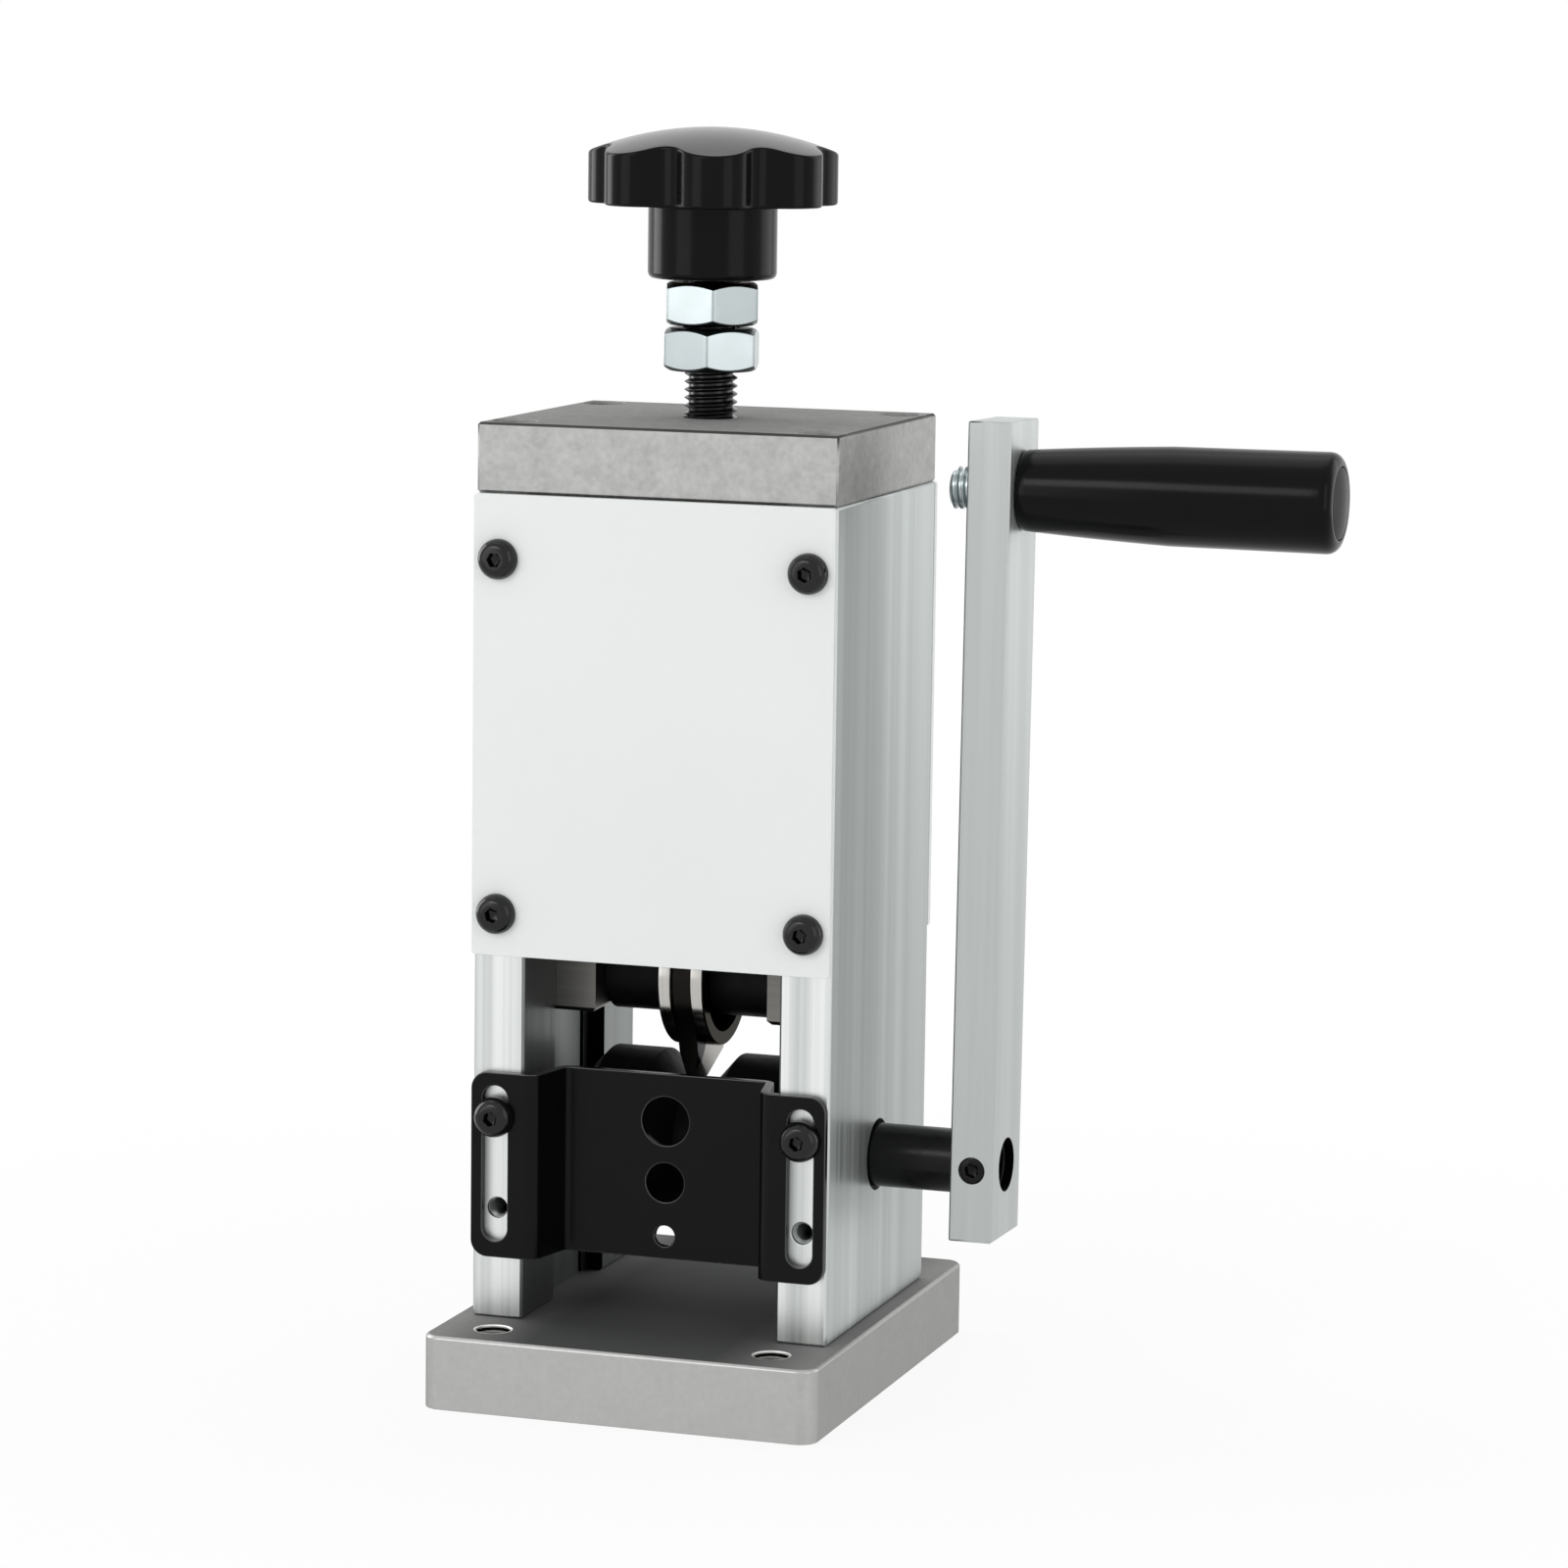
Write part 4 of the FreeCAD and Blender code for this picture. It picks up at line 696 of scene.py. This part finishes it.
def hexagon_nut(node, bottom, turn):
    bm = bmesh.new()
    half = NUT_HEIGHT / 2
    middle = hexagon(bm, NUT_FLATS, half, 11)

    def cone(sign):
        def place(p):
            outside = max(0.0, math.hypot(p.x, p.y) / MM - NUT_FACE_R)
            drop = outside * math.tan(math.radians(30))
            return Vector((p.x, p.y, (half + sign * (half - drop)) * MM))
        return place

    for sign in (-1, 1):
        face = half * (1 + sign)
        loop = grow(bm, middle, cone(sign))
        for radius, height in ((NUT_FACE_R, face), (NUT_BORE_R + NUT_CHAMFER, face),
                               (NUT_BORE_R, face - sign * NUT_CHAMFER), (NUT_BORE_R, half)):
            loop = grow(bm, loop, ring(radius, height))
    merge(bm)
    outward(bm)
    bevel(bm, [e for e in bm.edges if e.calc_face_angle(0) > math.radians(20)], 0.18, 2)
    place = Matrix.Translation((0, 0, bottom * MM)) @ Matrix.Rotation(math.radians(turn), 4, "Z")
    bmesh.ops.transform(bm, matrix=place, verts=bm.verts[:])
    stand_in(node + "_chamfered", bm, node)


hexagon_nut("depth_lock_nut", bottom=191.0, turn=13.9)
hexagon_nut("knob_lock_nut", bottom=199.5, turn=20.0)

# %% [markdown]
# ## Threads
# The adjusting screw is an M10 rod with a pitch of 1.5 mm. A thread is one small zigzag, spun round
# the axis while it climbs by one pitch a turn. Spin does this when it is given a step along the axis.
# The seams between turns are merged, and two planes cut the helix flat at its ends. Below the thread,
# the neck on which the carriage hangs is turned: a profile is spun once round the axis.

# %% Adjusting screw
def profile_of(bm, stations):
    """Corners and edges of a profile, given as radius and height."""
    corners = [bm.verts.new((r * MM, 0, z * MM)) for r, z in stations]
    return corners + [bm.edges.new(pair) for pair in zip(corners, corners[1:])]


def thread(bm, radius, pitch, low, high):
    """A right-hand thread along +Z between two heights, closed by a short cone at each end."""
    root = radius - 0.54 * pitch
    start = low - 1.5 * pitch
    zigzag = ((root, -0.125), (root, 0.125), (radius, 0.4375), (radius, 0.5625), (root, 0.875))
    steps, turns = 36, math.ceil((high - low) / pitch) + 3
    tooth = profile_of(bm, [(r, start + share * pitch) for r, share in zigzag])
    bmesh.ops.spin(bm, geom=tooth, cent=(0, 0, 0), axis=(0, 0, 1), dvec=(0, 0, pitch / steps * MM),
                   angle=2 * math.pi * turns, steps=steps * turns, use_merge=False, use_duplicate=False)
    merge(bm, 0.004)
    for height, side in ((low, -1), (high, 1)):
        bmesh.ops.bisect_plane(bm, geom=bm.verts[:] + bm.edges[:] + bm.faces[:], dist=1e-7,
                               plane_co=(0, 0, height * MM), plane_no=(0, 0, side), clear_outer=True)
        rim = [e for e in bm.edges
               if e.is_boundary and all(abs(v.co.z - height * MM) < 1e-6 for v in e.verts)]
        close(bm, grow(bm, rim, ring(root * 0.94, height + side * 0.5)))


def lathe(bm, stations, steps):
    """A closed profile of radius and height, turned about the Z axis."""
    bmesh.ops.spin(bm, geom=profile_of(bm, stations), cent=(0, 0, 0), axis=(0, 0, 1), angle=2 * math.pi,
                   steps=steps, use_merge=True, use_duplicate=False)
    merge(bm)


def turned(name, node, stations, place=Matrix(), finish=None, steps=96, thread_sizes=None):
    """A turned piece, which may have a thread, in its place and shown instead of its CAD part."""
    bm = bmesh.new()
    if thread_sizes:
        thread(bm, *thread_sizes)
    lathe(bm, stations, steps)
    outward(bm)
    bmesh.ops.transform(bm, matrix=place, verts=bm.verts[:])
    stand_in(name, bm, node, finish)


NECK = [(0, 95.5), (3.2, 95.5), (3.5, 95.8), (3.5, 96.7), (3.0, 96.7), (3.0, 97.9), (3.5, 97.9), (3.5, 106.8),
        (0, 106.8)]
turned("adjusting_screw_threaded", "adjusting_screw", NECK, steps=64, thread_sizes=(4.97, 1.5, 107.1, 221.6))

# %% [markdown]
# ## Tapped holes
# Each slot of the guide plate shows an empty tapped hole in the leg behind it. Its thread has a pitch
# of 0.7 mm and can't be told from plain rings at this size, so a ring with a zigzag inside is turned.
# It starts just behind the countersink.

# %% Linings of the two tapped holes
HOLE_R, CREST_R, PITCH, TURNS, LINING_FACE = 2.01, 1.62, 0.7, 10, 29.3
zigzag = [(CREST_R if step % 2 else HOLE_R - 0.05, -step * PITCH / 2) for step in range(2 * TURNS + 1)]
bm = bmesh.new()
lathe(bm, [(HOLE_R, 0)] + zigzag + [(HOLE_R, zigzag[-1][1]), (HOLE_R, 0)], 32)
outward(bm)
lining = copies(as_mesh("tapped_ring", bm), [((x, -LINING_FACE, TAPPED_HEIGHT), FRONT, 0) for x in SIDES])
new_piece("tapped_hole_threads", lining, "right_side_plate")

# %% [markdown]
# ## The drive shaft
# The shaft is turned down where it enters the arm, and its end is bored out there. The lathe left the
# bore a little conical. The hollow end is a guess: the photo shows only that it is black inside. Its
# profile is turned about the Z axis, laid along X and leaned with the crank.

# %% Drive shaft
SHAFT = [(0, -34.4), (5.5, -34.4), (6.0, -33.9), (6.0, 51.9), (4.98, 51.9), (4.98, 58.1), (4.48, 58.6)]
HOLLOW = [(4.35, 58.6), (4.15, 58.35), (3.9, 54.2), (0, 53.2)]
lay_along_x = Matrix.Rotation(math.radians(90), 4, "Y")
shaft_axis = crank_lean @ Matrix.Translation(pivot) @ lay_along_x
turned("drive_shaft_turned", "drive_shaft", SHAFT + HOLLOW, shaft_axis, satin_oxide)

# %% [markdown]
# ## The handle's stud
# The handle turns on a stud with an M8 thread, whose end stands out behind the arm. The rest is a
# plain pin with a flat head inside the handle. Thread and pin are made as for the adjusting screw.

# %% Handle stud
HANDLE_HEIGHT = 170.8
handle_axis = crank_lean @ Matrix.Translation((0, 0, HANDLE_HEIGHT * MM)) @ lay_along_x
PIN = [(0, 59.6), (3.8, 59.6), (4.0, 59.8), (4.0, 112.9), (6.0, 112.9), (6.0, 115.5), (5.6, 115.9),
       (0, 115.9)]
turned("handle_stud_threaded", "handle_stud", PIN, handle_axis, steps=64,
       thread_sizes=(3.97, 1.25, 47.3, 59.5))

# %% [markdown]
# ## The star knob
# The knob has seven round lobes with hollows between them, under a shallow dome. Its outline is made of
# circle arcs, so the reach at any angle can be worked out. A circle of short edges is pulled to that outline
# and grown upwards ring by ring, with a round under the dome, and inwards below, over the hollow underside to
# the hub. Faces of the crown that look up get the finish with the painted sheen.

# %% Lobed outline and dome
LOBES, REACH, LOBE_R, HOLLOW_R, LOBE_TURN = 7, 23.75, 7.0, 5.0, math.radians(-70.6)
HEAD_LOW, RIM_HIGH, CROWN_HIGH = 221.8, 231.4, 236.2
half_step = math.pi / LOBES
lobe_centre = REACH - LOBE_R
hollow_centre = lobe_centre * math.cos(half_step) + math.sqrt(
    (LOBE_R + HOLLOW_R) ** 2 - (lobe_centre * math.sin(half_step)) ** 2)
lobe_share = LOBE_R / (LOBE_R + HOLLOW_R)
join_x = lobe_centre + (hollow_centre * math.cos(half_step) - lobe_centre) * lobe_share
join_y = hollow_centre * math.sin(half_step) * lobe_share
join_angle = math.atan2(join_y, join_x)
dome_r = (REACH ** 2 + (CROWN_HIGH - RIM_HIGH) ** 2) / (2 * (CROWN_HIGH - RIM_HIGH))


def reach_at(angle):
    """Distance from the axis to the knob's outline."""
    off = (angle - LOBE_TURN + half_step) % (2 * half_step) - half_step
    if abs(off) <= join_angle:
        return lobe_centre * math.cos(off) + math.sqrt(LOBE_R ** 2 - (lobe_centre * math.sin(off)) ** 2)
    aside = half_step - abs(off)
    chord = math.sqrt(HOLLOW_R ** 2 - (hollow_centre * math.sin(aside)) ** 2)
    return hollow_centre * math.cos(aside) - chord


def dome_at(radius):
    return CROWN_HIGH - dome_r + math.sqrt(dome_r ** 2 - radius ** 2)


def on_star(height, inset=0.0, share=1.0):
    """A place rule: corners go to a share of the outline, less an inset. The height may depend on it."""
    def place(p):
        angle = math.atan2(p.y, p.x)
        radius = reach_at(angle) * share - inset
        z = height(radius) if callable(height) else height
        return Vector((radius * math.cos(angle), radius * math.sin(angle), z)) * MM
    return place


print("knob reach", reach_at(LOBE_TURN), "mm, hollow", round(reach_at(LOBE_TURN + half_step), 2), "mm")

# %% Star knob
SHOULDER, FOOT_ROUND = 0.5, 0.6
CAVITY_R, CAVITY_TOP, NECK_R, HUB_R, HUB_LOW = 17.5, 227.8, 14.6, 12.05, 208.1
INSERT_R, INSERT_TOP = 8.03, 222.1
bm = bmesh.new()
bmesh.ops.create_circle(bm, cap_ends=False, segments=LOBES * 24, radius=REACH * MM)
for corner in bm.verts:
    corner.co = on_star(HEAD_LOW, FOOT_ROUND)(corner.co)
foot = bm.edges[:]
loop = foot
for inset, rise in ((0.18, 0.18), (0.0, FOOT_ROUND)):
    loop = grow(bm, loop, on_star(HEAD_LOW + rise, inset))
for angle in (0, 30, 60, 90):
    rise, back = math.sin(math.radians(angle)), math.cos(math.radians(angle))
    loop = grow(bm, loop, on_star(lambda r: dome_at(r) - SHOULDER * (1 - rise), SHOULDER * (1 - back)))
for share in (0.9, 0.8, 0.68, 0.55, 0.42, 0.3, 0.18, 0.07):
    loop = grow(bm, loop, on_star(dome_at, share=share))
close(bm, loop)
loop = foot
for radius, height in ((CAVITY_R, HEAD_LOW), (CAVITY_R, CAVITY_TOP), (NECK_R, CAVITY_TOP), (NECK_R, HEAD_LOW),
                       (HUB_R + 0.65, HEAD_LOW), (HUB_R + 0.2, HEAD_LOW - 0.2), (HUB_R, HEAD_LOW - 0.7),
                       (HUB_R, HUB_LOW + 1.2), (HUB_R - 0.16, HUB_LOW + 0.6), (HUB_R - 0.6, HUB_LOW + 0.16),
                       (HUB_R - 1.2, HUB_LOW), (INSERT_R, HUB_LOW), (INSERT_R, INSERT_TOP)):
    loop = grow(bm, loop, ring(radius, height))
close(bm, loop)
outward(bm)
for face in bm.faces:
    face.material_index = int(face.normal.z > 0.7 and face.calc_center_median().z > (HEAD_LOW + 5) * MM)
knob = stand_in("star_knob_moulded", bm, "star_knob")
# the up-facing crown gets the finish with the painted sheen
knob.data.materials.append(crown_sheen_phenolic)

# %% [markdown]
# ## The handle
# The handle is a moulded sleeve that turns on its stud. It is narrow beside the arm, swells for the
# palm, and ends in a small round with a domed plug. Both are turned like the shaft, on the stud's axis.

# %% Handle grip and cap
GRIP_START, GRIP_END, NOSE_R = 60.5, 119.9, 2.2
ROOT_R, BELLY_R, END_R, BELLY_AT = 7.5, 9.15, 9.3, 28
SWELL, SWELL_FADE = 0.0768, 0.000638
PLUG_R, PLUG_SEAT, HEAD_SPACE_R, HEAD_SPACE, STUD_BORE_R = 6.8, 116.9, 6.5, 112.4, 4.05


def swell(along):
    """Radius of the grip at a distance from its inner end: a parabola to the belly, then a slight cone."""
    if along < BELLY_AT:
        return ROOT_R + SWELL * along - SWELL_FADE * along ** 2
    return BELLY_R + (END_R - BELLY_R) * (along - BELLY_AT) / (GRIP_END - GRIP_START - NOSE_R - BELLY_AT)


outside = [(swell(d), GRIP_START + d)
           for d in (0.5, 2, 4, 7, 10, 13, 16, 19, 22, 25, 28, 31, 35, 40, 46, 52, 55)]
nose = [(END_R - NOSE_R * (1 - math.cos(a)), GRIP_END - NOSE_R * (1 - math.sin(a)))
        for a in map(math.radians, (0, 20, 40, 60, 80, 90))]
inside = [(PLUG_R, GRIP_END), (PLUG_R, PLUG_SEAT), (HEAD_SPACE_R, PLUG_SEAT), (HEAD_SPACE_R, HEAD_SPACE),
          (STUD_BORE_R, HEAD_SPACE), (STUD_BORE_R, GRIP_START), (ROOT_R - 0.4, GRIP_START), outside[0]]
turned("handle_grip_moulded", "handle_grip", outside + nose + inside, handle_axis)
turned("handle_cap_moulded", "handle_cap",
       [(0, PLUG_SEAT), (PLUG_R - 0.02, PLUG_SEAT), (PLUG_R - 0.02, GRIP_END - 0.25), (6.55, GRIP_END),
        (5.2, GRIP_END + 0.2), (3.3, GRIP_END + 0.38), (1.5, GRIP_END + 0.47), (0, GRIP_END + 0.5)],
       handle_axis, dull_phenolic)

# %% [markdown]
# ## Parts that stay as the CAD made them
# The bushes, pins, washers and other small inner parts need no rounding. They keep their CAD mesh
# and only get their finish.

# %% Finishes of the inner parts
plain = [node for node, part in cad_part.items() if not part.hide_render]
for node in plain:
    part = cad_part[node]
    part.data.materials.clear()
    part.data.materials.append(OXIDE.get(node, finish_of[slot_of[node]]))
print("finished as they are:", ", ".join(sorted(plain)))

# %% [markdown]
# ## Floor
# The machine stands on a pale floor in a white studio. The floor and the world are plain white for
# the camera and for reflections, and light the machine at a plain level otherwise. A share of the
# floor near the machine still takes its shadow.

# %% Floor
SHADOW_FROM, SHADOW_TO, FLOOR_HALF = 0.06, 0.3, 6.0


def looked_at(tree):
    """One for rays from the camera, from a mirror or through glass, and zero for rays that give light."""
    rays = add(tree, "LightPath", {}).outputs
    direct = add(tree, "Math MAXIMUM", {0: rays["Is Camera Ray"], 1: rays["Is Glossy Ray"]})
    return add(tree, "Math MAXIMUM", {0: direct, 1: rays["Is Transmission Ray"]})


floor_material = bpy.data.materials.new("pale_studio_floor")
tree = empty_tree(floor_material)
away = add(tree, "VectorMath LENGTH", {0: add(tree, "TexCoord", {}).outputs["Object"]})
far = add(tree, "MapRange", {"Value": away, "From Min": SHADOW_FROM, "From Max": SHADOW_TO, "To Min": 0.89,
                             "To Max": 1.0})
white_share = add(tree, "Math MULTIPLY", {0: looked_at(tree), 1: far})
matt = add(tree, "BsdfDiffuse", {"Color": "#ededed"})
glow = add(tree, "Emission", {"Color": "#ffffff", "Strength": 1.0})
add(tree, "OutputMaterial", {"Surface": add(tree, "MixShader", {0: white_share, 1: matt, 2: glow})})
bm = bmesh.new()
bmesh.ops.create_grid(bm, x_segments=1, y_segments=1, size=FLOOR_HALF)
studio_floor = bpy.data.objects.new("studio_floor", as_mesh("studio_floor", bm))
studio_floor.data.materials.append(floor_material)
bpy.context.scene.collection.objects.link(studio_floor)
print("floor", studio_floor.name)

# %% [markdown]
# ## World and lamps
# A white world fills the shadows, and six soft lamps stand round the machine. Two hang above, in front
# and behind, and four tall ones stand in a ring and draw the light bands on plates, knob and handle.

# %% World and lamps
RING_R, RING_HEIGHT = 1.2, 0.5
world = bpy.data.worlds.new("white_studio")
tree = empty_tree(world)
strength = add(tree, "MapRange", {"Value": looked_at(tree), "To Min": 0.55, "To Max": 1.0})
sky = add(tree, "Background", {"Color": "#ffffff", "Strength": strength})
add(tree, "OutputWorld", {"Surface": sky})
bpy.context.scene.world = world


def softbox(name, spot, aim, size, watts):
    lamp = bpy.data.lights.new(name, "AREA")
    lamp.shape = "RECTANGLE"
    lamp.size, lamp.size_y = size
    lamp.energy = watts
    holder = bpy.data.objects.new(name, lamp)
    holder.location = spot
    holder.rotation_mode = "QUATERNION"
    holder.rotation_quaternion = (Vector(aim) - Vector(spot)).to_track_quat("-Z", "Y")
    bpy.context.scene.collection.objects.link(holder)


softbox("front_softbox", (-0.45, -1.35, 0.88), (0.02, 0, 0.12), (0.6, 0.4), 3.0)
softbox("back_softbox", (-0.15, 0.4, 1.3), (0, 0, 0.2), (1.2, 0.8), 2.5)
RING_LAMPS = (("left_front_softbox", -34, 0.6, 2.6), ("right_front_softbox", 62, 0.6, 2.1),
              ("left_back_softbox", -97, 0.5, 7.0), ("right_back_softbox", 132, 0.7, 2.8))
for name, degrees, width, watts in RING_LAMPS:
    angle = math.radians(degrees)
    softbox(name, (RING_R * math.sin(angle), -RING_R * math.cos(angle), RING_HEIGHT), (0, 0, RING_HEIGHT),
            (width, 1.0), watts)

# %% [markdown]
# ## Camera
# The camera stands where the photographer stood, a little above the machine and to its right. The
# values come from the edges of the column, which meet at known angles.

# %% Camera
CAMERA_SPOT = (341.12, -987.31, 263.08)
azimuth, elevation, roll = math.radians(18.258), math.radians(8.169), math.radians(0.766)
back = Vector((math.sin(azimuth) * math.cos(elevation), -math.cos(azimuth) * math.cos(elevation),
               math.sin(elevation)))
right = (-back).cross(Vector((0, 0, 1))).normalized()
up = right.cross(-back)
lens = bpy.data.cameras.new("photo_camera")
lens.lens, lens.sensor_width, lens.clip_start = 128.38, 36.0, 0.05
camera = bpy.data.objects.new("photo_camera", lens)
axes = Matrix((right, up, back)).transposed().to_4x4() @ Matrix.Rotation(roll, 4, "Z")
camera.matrix_world = Matrix.Translation(Vector(CAMERA_SPOT) * MM) @ axes
bpy.context.scene.collection.objects.link(camera)
bpy.context.scene.camera = camera
bpy.context.scene.view_settings.view_transform = "Standard"
print("camera at", [round(c, 3) for c in camera.location])
